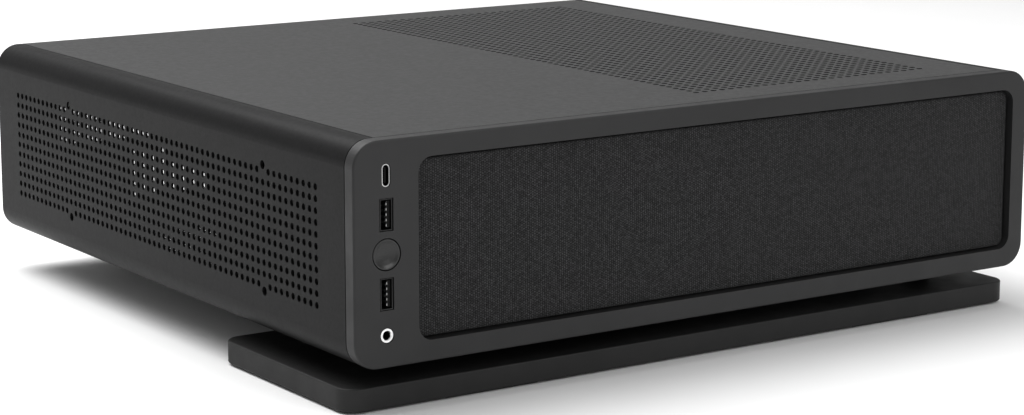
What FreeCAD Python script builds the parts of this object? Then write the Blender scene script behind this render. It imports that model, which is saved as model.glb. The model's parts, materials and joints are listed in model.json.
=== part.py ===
import FreeCAD, Part
import math
import os
import re

import Sketcher

# Mini PC in a flat console case that lies on a low stand plate.
# Frame: +Z up, +X to the right seen from the front, +Y to the rear, millimetres.
# Origin: on the floor, under the middle of the case. Heights named *_level are above the floor,
# and heights named *_rise are above the underside of the case.

V = FreeCAD.Vector
DIMENSIONS = {
    # case body
    "case_width": 374.0, "case_height": 95.0, "case_depth": 355.0, "case_base": 20.5,
    "case_corner": 11.2, "skin": 1.2, "seam_inset": 13.5, "seam_gap": 0.6, "lip_width": 8.0,
    "bezel_depth": 6.6, "bezel_edge": 1.0, "rear_recess": 3.0,
    # perforation of the side shells and the two big panels
    "hole_pitch": 5.0, "hole_radius": 1.5, "side_columns": 61, "side_rows": 11,
    "side_first_column": -147.0, "side_first_rise": 22.5,
    "mount_hole_radius": 2.0, "mount_hole_front": -102.0, "mount_hole_rear": 93.0,
    "mount_hole_low": 20.0, "mount_hole_high": 75.0,
    "top_columns": 28, "top_first_x": 10.4,
    # front window and the fabric insert in it
    "window_left": -156.0, "window_right": 178.0, "window_low": 9.0, "window_high": 86.2,
    "window_corner": 6.5, "insert_gap": 1.05, "insert_recess": 3.15, "insert_thick": 2.4,
    "fabric_thick": 0.6, "pin_radius": 2.0, "pin_length": 6.0, "pin_clearance": 0.3,
    "pin_low": 16.5, "pin_high": 80.6, "pin_spread": 151.0,
    # port column
    "port_x": -171.4, "port_inset": 0.4, "usb_c_rise": 80.2, "usb_a_high_rise": 64.0,
    "usb_a_low_rise": 31.0, "button_rise": 47.5, "jack_rise": 13.6,
    "usb_a_long": 13.1, "usb_a_thick": 5.7, "usb_wall": 0.35, "usb_a_depth": 18.0,
    "usb_c_long": 9.4, "usb_c_thick": 3.7, "usb_c_wall": 0.38, "usb_c_gap": 0.2,
    "button_radius": 6.35, "button_gap": 0.5, "button_dish": 1.2,
    "jack_radius": 2.95, "jack_bore": 1.8, "jack_mouth": 2.05, "jack_gap": 0.35,
    "port_board_thick": 1.6,
    # stand
    "stand_width": 373.0, "stand_depth": 110.0, "stand_thick": 10.0, "stand_front": -169.7,
    "stand_corner": 9.0, "stand_edge": 0.8, "pad_thick": 1.0, "pad_long": 47.0, "pad_wide": 10.0,
    "pad_spread": 113.0, "pad_inset": 3.0, "spacer_radius": 6.0, "spacer_spread": 155.0,
    "spacer_pitch": 50.0, "foot_radius": 10.0, "foot_spread": 118.0, "foot_y": 153.0, "foot_pad": 1.5,
    # chassis
    "mid_wall_x": 6.6, "mid_wall_back": 30.0, "sheet": 1.0, "rail_level": 97.7, "rail_width": 9.4,
    "right_rail_x": 140.0, "tray_level": 110.45, "beam_front": -36.0, "beam_deep": 10.0,
    "aperture_left": -160.0, "aperture_right": -1.25, "aperture_low": 40.0, "aperture_high": 84.5,
    "slot_left": 14.0, "slot_right": 124.0, "slot_low_level": 39.0, "slot_high_level": 75.5,
    # motherboard
    "board_left": -165.0, "board_front": 1.5, "board_side": 170.0, "board_level": 102.5,
    "board_thick": 1.6, "board_hole_inset_x": 6.17, "board_hole_span_x": 157.48,
    "board_hole_inset_y": 4.9, "board_hole_span_y": 154.94, "cpu_x": -70.0, "cpu_y": 100.0,
    "socket_side": 44.0, "chip_side": 37.5, "cooler_side": 84.0, "cooler_base": 4.0,
    "cooler_fins": 25, "fin_thick": 0.6, "cooler_fin_high": 25.0, "cooler_level": 97.0,
    "memory_left": -150.0, "memory_long": 133.35, "memory_front": 9.0, "memory_pitch": 10.0,
    # fans
    "cpu_fan_side": 80.0, "cpu_fan_deep": 15.0, "case_fan_side": 140.0, "case_fan_deep": 15.0,
    "case_fan_x": 78.0, "case_fan_y": 3.0, "case_fan_pitch": 140.4, "case_fan_level": 98.9,
    # graphics card
    "card_left": 12.0, "card_right": 118.0, "card_front": -92.0, "card_back": 171.0,
    "card_level": 40.2, "shroud_left": 16.0, "shroud_right": 136.0, "shroud_front": -96.0,
    "shroud_back": 157.0, "shroud_low": 43.0, "shroud_high": 88.0, "card_fan_x": 76.0,
    "card_fan_front_y": -20.0, "card_fan_rear_y": 92.0, "card_fan_radius": 46.0,
    "card_fins": 58, "card_fin_pitch": 4.0,
    # fan bearings
    "shaft_radius": 2.0, "shaft_clearance": 0.05, "shaft_reach": 6.0,
    # power supply
    "psu_left": -162.0, "psu_width": 125.0, "psu_front": -112.0, "psu_deep": 100.0,
    "psu_level": 21.7, "psu_high": 63.5, "psu_fan_x": -99.5, "psu_fan_y": -67.0,
    "psu_fan_radius": 38.0, "rocker_x": -60.0, "rocker_level": 40.0, "rocker_tilt": 8.0,
    "rocker_pin": 1.0,
    "socket_x": -100.0, "socket_level": 48.0,
    # rear inlet
    "inlet_x": -146.0, "inlet_level": 39.5, "lead_radius": 3.4,
}

doc = FreeCAD.newDocument("MiniPc")
sheet = doc.addObject("Spreadsheet::Sheet", "Dims")
for row, (alias, number) in enumerate(DIMENSIONS.items(), start=1):
    sheet.set(f"A{row}", alias)
    sheet.set(f"B{row}", str(number))
    sheet.setAlias(f"B{row}", alias)
doc.recompute()

# Faces of the case body, as formulas over the sheet.
LEFT = "-case_width / 2"
RIGHT = "case_width / 2"
FRONT = "-case_depth / 2"
BACK = "case_depth / 2"
FLOOR = "case_base"
ROOF = "case_base + case_height"
WALL_FRONT = "-case_depth / 2 + bezel_depth"
REAR_INSIDE = "case_depth / 2 - rear_recess - skin"
INSIDE_FLOOR = "case_base + skin"

sub_parts = []


# ---------------------------------------------------------------- helpers

def size(alias):
    """One driving dimension, read from the sheet."""
    return float(sheet.get(alias))


def formula(text):
    """A sum over plain dimension names, as an expression over the sheet's cells."""
    return re.sub(r"[a-z][a-z_]*", lambda word: "Dims." + word.group(0), str(text))


def bind(thing, prop, text):
    thing.setExpression(prop, formula(text))


def move(thing, x="0", y="0", z="0"):
    for axis, text in zip("xyz", (x, y, z)):
        bind(thing, "Placement.Base." + axis, text)


def node(label, thing):
    """Name a finished sub-part: the label is also its file name."""
    thing.Label = label
    sub_parts.append(thing)
    return thing


def block(low, high, label=None):
    """A box between two corners, each a triple of formulas."""
    solid = doc.addObject("Part::Box", "Block")
    for prop, start, end in zip(("Length", "Width", "Height"), low, high):
        bind(solid, prop, f"({end}) - ({start})")
    move(solid, *low)
    return node(label, solid) if label else solid


def rod(axis, centre, radius, length, label=None):
    """A cylinder that starts at a centre and runs along +X, +Y or +Z."""
    solid = doc.addObject("Part::Cylinder", "Rod")
    bind(solid, "Radius", radius)
    bind(solid, "Height", length)
    turns = {"X": FreeCAD.Rotation(V(0, 1, 0), 90), "Y": FreeCAD.Rotation(V(1, 0, 0), -90),
             "Z": FreeCAD.Rotation()}
    solid.Placement = FreeCAD.Placement(V(), turns[axis])
    move(solid, *centre)
    return node(label, solid) if label else solid


def join(parts, label=None):
    """One solid out of touching or crossing parts."""
    fused = doc.addObject("Part::MultiFuse", "Join")
    fused.Shapes = parts
    fused.Refine = True
    return node(label, fused) if label else fused


def group(parts, label=None):
    """Several separate solids kept together, such as a set of screws."""
    together = doc.addObject("Part::Compound", "Group")
    together.Links = parts
    return node(label, together) if label else together


def cut(base, tools, label=None):
    made = doc.addObject("Part::Cut", "Cut")
    made.Base = base
    made.Tool = tools[0] if len(tools) == 1 else group(tools)
    made.Refine = True
    return node(label, made) if label else made


def own_shape(label, shape):
    """A sub-part whose shape is made directly, for what no feature above can make."""
    feature = doc.addObject("Part::Feature", "Own")
    feature.Shape = shape
    feature.Placement = FreeCAD.Placement()
    return node(label, feature)


# ---------------------------------------------------------------- part design helpers

def new_body(label):
    return node(label, doc.addObject("PartDesign::Body", "Body"))


def sketch_on(body, role, lift="0"):
    """A sketch on one of the body's origin planes, lifted along the plane's normal."""
    plane = next(item for item in body.Origin.OriginFeatures if item.Role == role)
    sketch = body.newObject("Sketcher::SketchObject", "Sketch")
    sketch.AttachmentSupport = [(plane, "")]
    sketch.MapMode = "FlatFace"
    bind(sketch, "AttachmentOffset.Base.z", lift)
    return sketch


def pin_point(sketch, geometry, position, x, y):
    """Fix a sketch point at formulas measured from the sketch's origin."""
    for kind, text in (("DistanceX", x), ("DistanceY", y)):
        index = sketch.addConstraint(Sketcher.Constraint(kind, -1, 1, geometry, position, 1.0))
        bind(sketch, f"Constraints[{index}]", text)


def draw_polygon(sketch, points):
    """A closed outline through points that are pairs of formulas."""
    count = len(points)
    first = sketch.GeometryCount
    angles = [2 * math.pi * step / count for step in range(count)]
    spots = [V(50 * math.cos(angle), 50 * math.sin(angle), 0) for angle in angles]
    for step in range(count):
        sketch.addGeometry(Part.LineSegment(spots[step], spots[(step + 1) % count]))
    for step in range(count):
        following = first + (step + 1) % count
        sketch.addConstraint(Sketcher.Constraint("Coincident", first + step, 2, following, 1))
    for step, (x, y) in enumerate(points):
        pin_point(sketch, first + step, 1, x, y)


def draw_box(sketch, left, low, right, high):
    draw_polygon(sketch, [(left, low), (right, low), (right, high), (left, high)])


def draw_circle(sketch, x, y, radius):
    index = sketch.addGeometry(Part.Circle(V(1, 1, 0), V(0, 0, 1), 1.0))
    pin_point(sketch, index, 3, x, y)
    constraint = sketch.addConstraint(Sketcher.Constraint("Radius", index, 1.0))
    bind(sketch, f"Constraints[{constraint}]", radius)


def pad(body, sketch, length, reverse=False):
    feature = body.newObject("PartDesign::Pad", "Pad")
    feature.Profile = sketch
    feature.Reversed = reverse
    bind(feature, "Length", length)
    return feature


def pocket(body, sketch, length=None, reverse=False):
    """Cut to a length, or right through when none is given."""
    feature = body.newObject("PartDesign::Pocket", "Pocket")
    feature.Profile = sketch
    feature.Reversed = reverse
    if length is None:
        feature.Type = "ThroughAll"
        feature.SideType = "Symmetric"
    else:
        bind(feature, "Length", length)
    return feature


def edges_where(feature, test):
    """Names of a feature's edges whose two ends pass a test."""
    doc.recompute()
    names = []
    for index, edge in enumerate(feature.Shape.Edges, start=1):
        ends = [vertex.Point for vertex in edge.Vertexes]
        if len(ends) == 2 and test(ends[0], ends[1]):
            names.append(f"Edge{index}")
    return names


def fillet(body, feature, test, radius):
    rounded = body.newObject("PartDesign::Fillet", "Fillet")
    rounded.Base = (feature, edges_where(feature, test))
    bind(rounded, "Radius", radius)
    return rounded


def along(axis):
    """A test for straight edges parallel to one axis."""
    others = [name for name in "xyz" if name != axis]
    return lambda a, b: all(abs(getattr(a, name) - getattr(b, name)) < 1e-6 for name in others)


def linear_pattern(body, feature, role, length, count):
    pattern = body.newObject("PartDesign::LinearPattern", "Pattern")
    pattern.Originals = [feature]
    line = next(item for item in body.Origin.OriginFeatures if item.Role == role)
    pattern.Direction = (line, [""])
    bind(pattern, "Length", length)
    bind(pattern, "Occurrences", count)
    body.Tip = pattern
    return pattern


def polar_pattern(body, feature, count):
    pattern = body.newObject("PartDesign::PolarPattern", "Pattern")
    pattern.Originals = [feature]
    line = next(item for item in body.Origin.OriginFeatures if item.Role == "Z_Axis")
    pattern.Axis = (line, [""])
    pattern.Angle = 360
    pattern.Occurrences = count
    body.Tip = pattern
    return pattern


# ---------------------------------------------------------------- sheet metal with many holes

def ring(centre, normal, radius):
    return Part.Wire([Part.makeCircle(radius, centre, normal)])


def frame_wire(corners):
    return Part.makePolygon(corners + corners[:1])


def slot_wires(lefts, lows, width, high, place):
    """Upright slots: place maps a flat (across, up) pair into space."""
    wires = []
    for left in lefts:
        for low in lows:
            flat = [(left, low), (left + width, low), (left + width, low + high), (left, low + high)]
            wires.append(frame_wire([place(*pair) for pair in flat]))
    return wires


def pierced(outline, holes, direction):
    """A flat sheet with every hole in one face. The outline and the holes all run the same way round."""
    face = Part.Face([outline] + [hole.reversed() for hole in holes])
    return face.extrude(direction)


def striped(start, end, first, columns, holes_in, outline_between, direction):
    """Strips of a sheet with a regular field of holes, one strip for each column of holes."""
    pitch = size("hole_pitch")
    borders = [start] + [first + pitch * (index - 0.5) for index in range(columns + 1)] + [end]
    strips = []
    for index, (near, far) in enumerate(zip(borders, borders[1:])):
        holes = holes_in(first + pitch * (index - 1)) if 0 < index <= columns else []
        strips.append(pierced(outline_between(near, far), holes, direction))
    return strips


def steps(first, last, pitch):
    """Evenly spaced values from first up to last."""
    count = int(round((last - first) / pitch)) + 1
    return [first + pitch * index for index in range(count)]


def rounded_wire(left, low, right, high, radius, place):
    """A rectangle with round corners; place maps a flat pair into space."""
    near = radius * (1 - math.sqrt(0.5))
    arcs = [
        [(left, low + radius), (left + near, low + near), (left + radius, low)],
        [(right - radius, low), (right - near, low + near), (right, low + radius)],
        [(right, high - radius), (right - near, high - near), (right - radius, high)],
        [(left + radius, high), (left + near, high - near), (left, high - radius)],
    ]
    edges = []
    for index, arc in enumerate(arcs):
        following = arcs[(index + 1) % len(arcs)]
        edges.append(Part.Arc(*[place(*pair) for pair in arc]).toShape())
        edges.append(Part.LineSegment(place(*arc[2]), place(*following[0])).toShape())
    return Part.Wire(edges)


# ---------------------------------------------------------------- outer skins

def hook_wire(x_sign, level, up):
    """Section of a shell's rounded edge, flange and stepped lip, drawn at the front end.

    level is the flat outer face above or below, and up is 1 for the top edge, -1 for the bottom one.
    """
    half, corner, skin = size("case_width") / 2, size("case_corner"), size("skin")
    front = -size("case_depth") / 2 + size("bezel_depth") + size("seam_gap")
    seam = half - size("seam_inset") + size("seam_gap") / 2
    lip = half - size("seam_inset") - size("lip_width")
    bend = half - corner
    diagonal = math.sqrt(0.5)

    def spot(x, drop):
        return V(x_sign * x, front, level - up * drop)

    outer_mid = spot(bend + corner * diagonal, corner * (1 - diagonal))
    inner_mid = spot(bend + (corner - skin) * diagonal, corner - (corner - skin) * diagonal)
    lip_line = [spot(bend, 0), spot(seam, 0), spot(seam, skin), spot(lip, skin), spot(lip, 2 * skin)]
    lip_line += [spot(bend - skin / 2, 2 * skin), spot(bend, skin)]
    edges = [Part.Arc(spot(half, corner), outer_mid, lip_line[0]).toShape()]
    edges += [Part.LineSegment(a, b).toShape() for a, b in zip(lip_line, lip_line[1:])]
    edges.append(Part.Arc(lip_line[-1], inner_mid, spot(half - skin, corner)).toShape())
    edges.append(Part.LineSegment(spot(half - skin, corner), spot(half, corner)).toShape())
    return Part.Wire(edges)


def side_shell_shape():
    """Left skin: a perforated flat side with a rounded edge and a flange above and below."""
    half, base, corner = size("case_width") / 2, size("case_base"), size("case_corner")
    roof = base + size("case_height")
    front = -size("case_depth") / 2 + size("bezel_depth") + size("seam_gap")
    back = size("case_depth") / 2

    def place(y, z):
        return V(-half, y, z)

    rows = [base + size("side_first_rise") + size("hole_pitch") * index
            for index in range(int(size("side_rows")))]
    mount_columns = (size("mount_hole_front"), size("mount_hole_rear"))

    def holes_in(y):
        """One upright column: in the two mount columns a bigger, wider-spaced hole ends each side."""
        if min(abs(y - mount) for mount in mount_columns) > size("hole_pitch") / 2:
            return [ring(place(y, z), V(1, 0, 0), size("hole_radius")) for z in rows]
        plain = [ring(place(y, z), V(1, 0, 0), size("hole_radius")) for z in rows[1:-1]]
        mounts = [ring(place(y, base + size(name)), V(1, 0, 0), size("mount_hole_radius"))
                  for name in ("mount_hole_low", "mount_hole_high")]
        return plain + mounts

    def outline_between(near, far):
        corners = [(near, base + corner), (far, base + corner), (far, roof - corner),
                   (near, roof - corner)]
        return frame_wire([place(*pair) for pair in corners])

    strips = striped(front, back, size("side_first_column"), int(size("side_columns")), holes_in,
                     outline_between,
                     V(size("skin"), 0, 0))
    run = V(0, back - front, 0)
    hooks = [Part.Face(hook_wire(-1, level, up)).extrude(run) for level, up in ((roof, 1), (base, -1))]
    return strips[0].fuse(strips[1:] + hooks).Solids[0]


def panel_corners():
    """Extents of the flat panels between the side shells' seams: across and front to back."""
    reach = size("case_width") / 2 - size("seam_inset") - size("seam_gap") / 2
    front = -size("case_depth") / 2 + size("bezel_depth") + size("seam_gap")
    return -reach, reach, front, size("case_depth") / 2


def top_panel_shape():
    """Top panel: plain over the motherboard, perforated over the graphics card."""
    left, right, front, back = panel_corners()
    level = size("case_base") + size("case_height") - size("skin")
    rows = [size("side_first_column") + size("hole_pitch") * index
            for index in range(int(size("side_columns")))]

    def holes_in(x):
        return [ring(V(x, y, level), V(0, 0, 1), size("hole_radius")) for y in rows]

    def outline_between(near, far):
        return frame_wire([V(near, front, level), V(far, front, level), V(far, back, level),
                           V(near, back, level)])

    strips = striped(left, right, size("top_first_x"), int(size("top_columns")), holes_in,
                     outline_between,
                     V(0, 0, size("skin")))
    return strips[0].fuse(strips[1:]).Solids[0]


def bottom_panel_shape():
    """Bottom panel with long vents under the power supply and the cooler."""
    left, right, front, back = panel_corners()
    level = size("case_base")
    outline = frame_wire([V(left, front, level), V(right, front, level), V(right, back, level),
                          V(left, back, level)])
    vents = slot_wires(steps(-146, -16, 5), steps(-150, 96, 35), 3, 29, lambda x, y: V(x, y, level))
    return pierced(outline, vents, V(0, 0, size("skin")))


def upright_wall(front, thick, holes):
    """A wall across the case, inside the shells and clear of their lips."""
    clearance = 0.1
    half = size("case_width") / 2 - size("skin") - clearance
    low = size("case_base") + size("skin")
    high = size("case_base") + size("case_height") - size("skin")
    lip_inside = size("case_width") / 2 - size("seam_inset") - size("lip_width") - clearance
    lip_outside = half + clearance - size("case_corner") + 2 * size("skin")
    notch = size("skin") + clearance
    radius = size("case_corner") - size("skin") - clearance
    outline = rounded_wire(-half, low, half, high, radius, lambda x, z: V(x, front, z))
    wall = pierced(outline, holes, V(0, thick, 0))
    for x in (-lip_outside, lip_inside):
        for z in (low - clearance, high - notch):
            box = Part.makeBox(lip_outside - lip_inside, thick, notch + clearance, V(x, front, z))
            wall = wall.cut(box)
    return wall


def front_wall_shape():
    base, front = size("case_base"), -size("case_depth") / 2 + size("bezel_depth")

    def place(x, z):
        return V(x, front, z)

    port_hole = rounded_wire(size("port_x") - 8.5, base + 8, size("port_x") + 8.5, base + 87, 2, place)
    vents = slot_wires(steps(-148, 172, 8), [base + 24], 4, 47, place)
    pins = [ring(place(x, z), V(0, -1, 0), size("pin_radius") + size("pin_clearance")) for x,
            z in pin_spots()]
    return upright_wall(front, size("sheet"), [port_hole] + vents + pins)


def pin_spots():
    """Snap pins of the fabric insert: three above and three below the vents."""
    middle = (size("window_left") + size("window_right")) / 2
    levels = [size("case_base") + size("pin_low"), size("case_base") + size("pin_high")]
    return [(middle + side * size("pin_spread"), z) for side in (-1, 0, 1) for z in levels]


def rear_wall_shape():
    base = size("case_base")
    front = size("case_depth") / 2 - size("rear_recess") - size("skin")

    def place(x, z):
        return V(x, front, z)

    def window(left, low, right, high):
        return frame_wire([place(left, low), place(right, low), place(right, high), place(left, high)])

    aperture = window(size("aperture_left"), base + size("aperture_low"),
                      size("aperture_right"), base + size("aperture_high"))
    card_slot = window(size("slot_left"), size("slot_low_level"), size("slot_right"),
                       size("slot_high_level"))
    inlet = window(size("inlet_x") - 14, size("inlet_level") - 10.2, size("inlet_x") + 14,
                   size("inlet_level") + 10.2)
    vents = slot_wires(steps(-116, -8, 6), [base + 10], 3, 24, place)
    vents += slot_wires(steps(16, 128, 6), [base + 62], 3, 22, place)
    vents += slot_wires(steps(146, 164, 6), [base + 14, base + 50], 3, 30, place)
    return upright_wall(front, size("skin"), [aperture, card_slot, inlet] + vents)


def build_skins():
    left = own_shape("left_shell", side_shell_shape())
    right = doc.addObject("Part::Mirroring", "Mirror")
    right.Source = left
    right.Normal = V(1, 0, 0)
    node("right_shell", right)
    own_shape("top_panel", top_panel_shape())
    own_shape("bottom_panel", bottom_panel_shape())
    own_shape("front_wall", front_wall_shape())
    own_shape("rear_wall", rear_wall_shape())


def build_bezel():
    """Front bezel: a rounded frame with the fabric window and the port column's holes."""
    body = new_body("front_bezel")
    back = sketch_on(body, "XZ_Plane", "case_depth / 2 - bezel_depth")
    draw_box(back, LEFT, FLOOR, RIGHT, ROOF)
    slab = pad(body, back, "bezel_depth")
    rounded = fillet(body, slab, along("y"), "case_corner")
    front = -size("case_depth") / 2
    rim = fillet(body, rounded, lambda a, b: abs(a.y - front) < 1e-6 and abs(b.y - front) < 1e-6,
                 "bezel_edge")
    holes = sketch_on(body, "XZ_Plane", "case_depth / 2")
    draw_box(holes, "window_left", f"{FLOOR} + window_low", "window_right", f"{FLOOR} + window_high")
    for rise in ("usb_a_high_rise", "usb_a_low_rise"):
        draw_box(holes, "port_x - usb_a_thick / 2 - 0.5", f"{FLOOR} + {rise} - usb_a_long / 2 - 0.3",
                 "port_x + usb_a_thick / 2 + 0.5", f"{FLOOR} + {rise} + usb_a_long / 2 + 0.3")
    draw_box(holes, "port_x - usb_c_thick / 2 - usb_c_gap",
             f"{FLOOR} + usb_c_rise - usb_c_long / 2 - usb_c_gap",
             "port_x + usb_c_thick / 2 + usb_c_gap",
             f"{FLOOR} + usb_c_rise + usb_c_long / 2 + usb_c_gap")
    draw_circle(holes, "port_x", f"{FLOOR} + button_rise", "button_radius + button_gap")
    draw_circle(holes, "port_x", f"{FLOOR} + jack_rise", "jack_radius + jack_gap")
    opened = pocket(body, holes)
    doc.recompute()
    window = (size("window_left"), size("window_right"))
    corner = fillet(body, opened, lambda a, b: along("y")(a, b)
                    and min(abs(a.x - x) for x in window) < 1e-6, "window_corner")
    port_c = size("case_base") + size("usb_c_rise")
    fillet(body, corner, lambda a, b: along("y")(a, b) and abs(a.x - size("port_x")) < 3
           and abs(a.z - port_c) < 5, "usb_c_thick / 2 + usb_c_gap - 0.07")


def build_insert():
    """Fabric insert: the carrier with its snap pins, and the cloth on its face."""
    left, right = "window_left + insert_gap", "window_right - insert_gap"
    low, high = f"{FLOOR} + window_low + insert_gap", f"{FLOOR} + window_high - insert_gap"
    carrier = new_body("fabric_carrier")
    back = "case_depth / 2 - insert_recess - fabric_thick - insert_thick"
    face = sketch_on(carrier, "XZ_Plane", back)
    draw_box(face, left, low, right, high)
    rounded = fillet(carrier, pad(carrier, face, "insert_thick"), along("y"),
                     "window_corner - insert_gap")
    slots = sketch_on(carrier, "XZ_Plane", back)
    for index in range(10):
        start = f"window_left + 14 + {index} * 31.6"
        draw_box(slots, start, f"{FLOOR} + 24", f"{start} + 22", f"{FLOOR} + 71")
    pocket(carrier, slots)
    pins = sketch_on(carrier, "XZ_Plane", back)
    for side in (-1, 0, 1):
        for rise in ("pin_low", "pin_high"):
            x = f"(window_left + window_right) / 2 + ({side}) * pin_spread"
            draw_circle(pins, x, f"{FLOOR} + {rise}", "pin_radius")
    pad(carrier, pins, "pin_length", reverse=True)
    cloth = new_body("front_fabric")
    face = sketch_on(cloth, "XZ_Plane", "case_depth / 2 - insert_recess - fabric_thick")
    draw_box(face, left, low, right, high)
    fillet(cloth, pad(cloth, face, "fabric_thick"), along("y"), "window_corner - insert_gap")


# ---------------------------------------------------------------- stand

def build_stand():
    plate = new_body("stand_plate")
    outline = sketch_on(plate, "XY_Plane", "pad_thick")
    draw_box(outline, "-stand_width / 2", "stand_front", "stand_width / 2", "stand_front + stand_depth")
    slab = pad(plate, outline, "stand_thick")
    rounded = fillet(plate, slab, along("z"), "stand_corner")
    low, high = size("pad_thick"), size("pad_thick") + size("stand_thick")
    rim = fillet(plate, rounded, lambda a, b: abs(a.z - b.z) < 1e-6 and min(abs(a.z - low),
                                                                            abs(a.z - high)) < 1e-6,
                 "stand_edge")
    middle = "stand_front + stand_depth / 2"
    spots = [(f"({side}) * spacer_spread", f"{middle} + ({end}) * spacer_pitch / 2")
             for side in (-1, 1) for end in (-1, 1)]
    for radius, depth in (("4.6", "4"), ("2.3", None)):
        holes = sketch_on(plate, "XY_Plane", "pad_thick")
        for x, y in spots:
            draw_circle(holes, x, y, radius)
        pocket(plate, holes, depth, reverse=depth is not None)
    under = "(pad_thick + stand_thick)"
    tubes = [cut(rod("Z", (x, y, under), "spacer_radius", f"{FLOOR} - {under}"),
                 [rod("Z", (x, y, under), "2.1", f"{FLOOR} - {under} - 1")]) for x, y in spots]
    screws = [join([rod("Z", (x, y, "pad_thick + 1"), "4.2", "3"),
                    rod("Z", (x, y, "pad_thick + 4"), "2", "13")])
              for x, y in spots]
    group(tubes + screws, "stand_fixings")
    pads = []
    for side in (-1, 1):
        for start in ("stand_front + pad_inset", "stand_front + stand_depth - pad_inset - pad_wide"):
            centre = f"({side}) * pad_spread"
            pads.append(block((f"{centre} - pad_long / 2", start, "0"),
                              (f"{centre} + pad_long / 2", f"{start} + pad_wide", "pad_thick")))
    feet = []
    for side in (-1, 1):
        cone = doc.addObject("Part::Cone", "Foot")
        bind(cone, "Radius1", "foot_radius - 1")
        bind(cone, "Radius2", "foot_radius")
        bind(cone, "Height", f"{FLOOR} - foot_pad")
        move(cone, f"({side}) * foot_spread", "foot_y", "foot_pad")
        feet.append(cone)
        pads.append(rod("Z", (f"({side}) * foot_spread", "foot_y", "0"), "foot_radius - 1", "foot_pad"))
    group(feet, "rear_feet")
    group(pads, "rubber_pads")


# ---------------------------------------------------------------- front ports

PORT_FACE = f"{FRONT} + port_inset"


def stadium(x, z, long, thick, start, length):
    """A flat bar with round ends, upright in XZ and running along +Y."""
    reach = f"({long}) / 2 - ({thick}) / 2"
    bar = block((f"{x} - ({thick}) / 2", start, f"{z} - ({reach})"),
                (f"{x} + ({thick}) / 2", f"{start} + {length}", f"{z} + {reach}"))
    ends = [rod("Y", (x, start, f"{z} + ({side}) * ({reach})"), f"({thick}) / 2",
                length) for side in (-1, 1)]
    return join([bar] + ends)


def usb_a_port(label, rise):
    """Upright USB-A socket: a metal shell, a tongue and its four contacts."""
    centre = f"{FLOOR} + {rise}"
    half_thick, half_long = "usb_a_thick / 2", "usb_a_long / 2"
    shell = block((f"port_x - {half_thick}", PORT_FACE, f"{centre} - {half_long}"),
                  (f"port_x + {half_thick}", f"{PORT_FACE} + usb_a_depth", f"{centre} + {half_long}"))
    hollow = block((f"port_x - {half_thick} + usb_wall", PORT_FACE, f"{centre} - {half_long} + usb_wall"),
                   (f"port_x + {half_thick} - usb_wall", f"{PORT_FACE} + usb_a_depth - 5",
                    f"{centre} + {half_long} - usb_wall"))
    tongue = block(("port_x + 0.4", f"{PORT_FACE} + 0.8", f"{centre} - 5.5"),
                   ("port_x + 2.2", f"{PORT_FACE} + usb_a_depth - 5", f"{centre} + 5.5"))
    contacts = [block(("port_x + 0.2", f"{PORT_FACE} + 1.6", f"{centre} + ({offset}) - 0.5"),
                      ("port_x + 0.4", f"{PORT_FACE} + usb_a_depth - 5", f"{centre} + ({offset}) + 0.5"))
                for offset in (-3.5, -1.2, 1.2, 3.5)]
    join([cut(shell, [hollow]), tongue] + contacts, label)


def build_front_ports():
    usb_a_port("usb_a_port_upper", "usb_a_high_rise")
    usb_a_port("usb_a_port_lower", "usb_a_low_rise")
    centre = f"{FLOOR} + usb_c_rise"
    shell = stadium("port_x", centre, "usb_c_long", "usb_c_thick", PORT_FACE, "12")
    hollow = stadium("port_x", centre, "usb_c_long - 2 * usb_c_wall", "usb_c_thick - 2 * usb_c_wall",
                     PORT_FACE, "8")
    tongue = block(("port_x - 0.35", f"{PORT_FACE} + 0.6", f"{centre} - 3.2"),
                   ("port_x + 0.35", f"{PORT_FACE} + 8", f"{centre} + 3.2"))
    foot = block(("port_x", f"{PORT_FACE} + 8", f"{centre} - 4"),
                 ("port_x + usb_a_thick / 2", f"{PORT_FACE} + usb_a_depth", f"{centre} + 4"))
    join([cut(shell, [hollow]), tongue, foot], "usb_c_port")

    jack = f"{FLOOR} + jack_rise"
    sleeve = join([rod("Y", ("port_x", PORT_FACE, jack), "jack_radius", "10"),
                   block(("port_x - 3.5", f"{PORT_FACE} + 8", f"{jack} - 3.5"),
                         ("port_x + usb_a_thick / 2", f"{PORT_FACE} + usb_a_depth", f"{jack} + 3.5"))])
    mouth = doc.addObject("Part::Cone", "Mouth")
    mouth.Placement = FreeCAD.Placement(V(), FreeCAD.Rotation(V(1, 0, 0), -90))
    bind(mouth, "Radius1", "jack_mouth")
    bind(mouth, "Radius2", "jack_bore - 0.05")
    bind(mouth, "Height", "0.5")
    move(mouth, "port_x", PORT_FACE, jack)
    cut(sleeve, [rod("Y", ("port_x", PORT_FACE, jack), "jack_bore", "usb_a_depth - 3"), mouth],
        "audio_jack")

    board_left = "port_x + usb_a_thick / 2"
    board_right = f"{board_left} + port_board_thick"
    button = f"{FLOOR} + button_rise"
    join([block((board_left, f"{FRONT} + 11.5", f"{FLOOR} + 8.5"),
                (board_right, f"{FRONT} + 40", f"{FLOOR} + 86.5")),
          block(("port_x - 3.1", f"{FRONT} + 12", f"{button} - 3.1"),
                (board_left, f"{FRONT} + 17", f"{button} + 3.1")),
          block((board_right, f"{FRONT} + 27", f"{FLOOR} + 62"),
                (f"{board_right} + 6", f"{FRONT} + 37.5", f"{FLOOR} + 72")),
          block((board_right, f"{WALL_FRONT} + sheet", f"{FLOOR} + 10"),
                (f"{board_right} + 3", f"{FRONT} + 26", f"{FLOOR} + 38")),
          block((board_right, f"{WALL_FRONT} + sheet", f"{FLOOR} + 57"),
                (f"{board_right} + 3", f"{FRONT} + 26", f"{FLOOR} + 85"))],
         "front_port_board")


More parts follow.
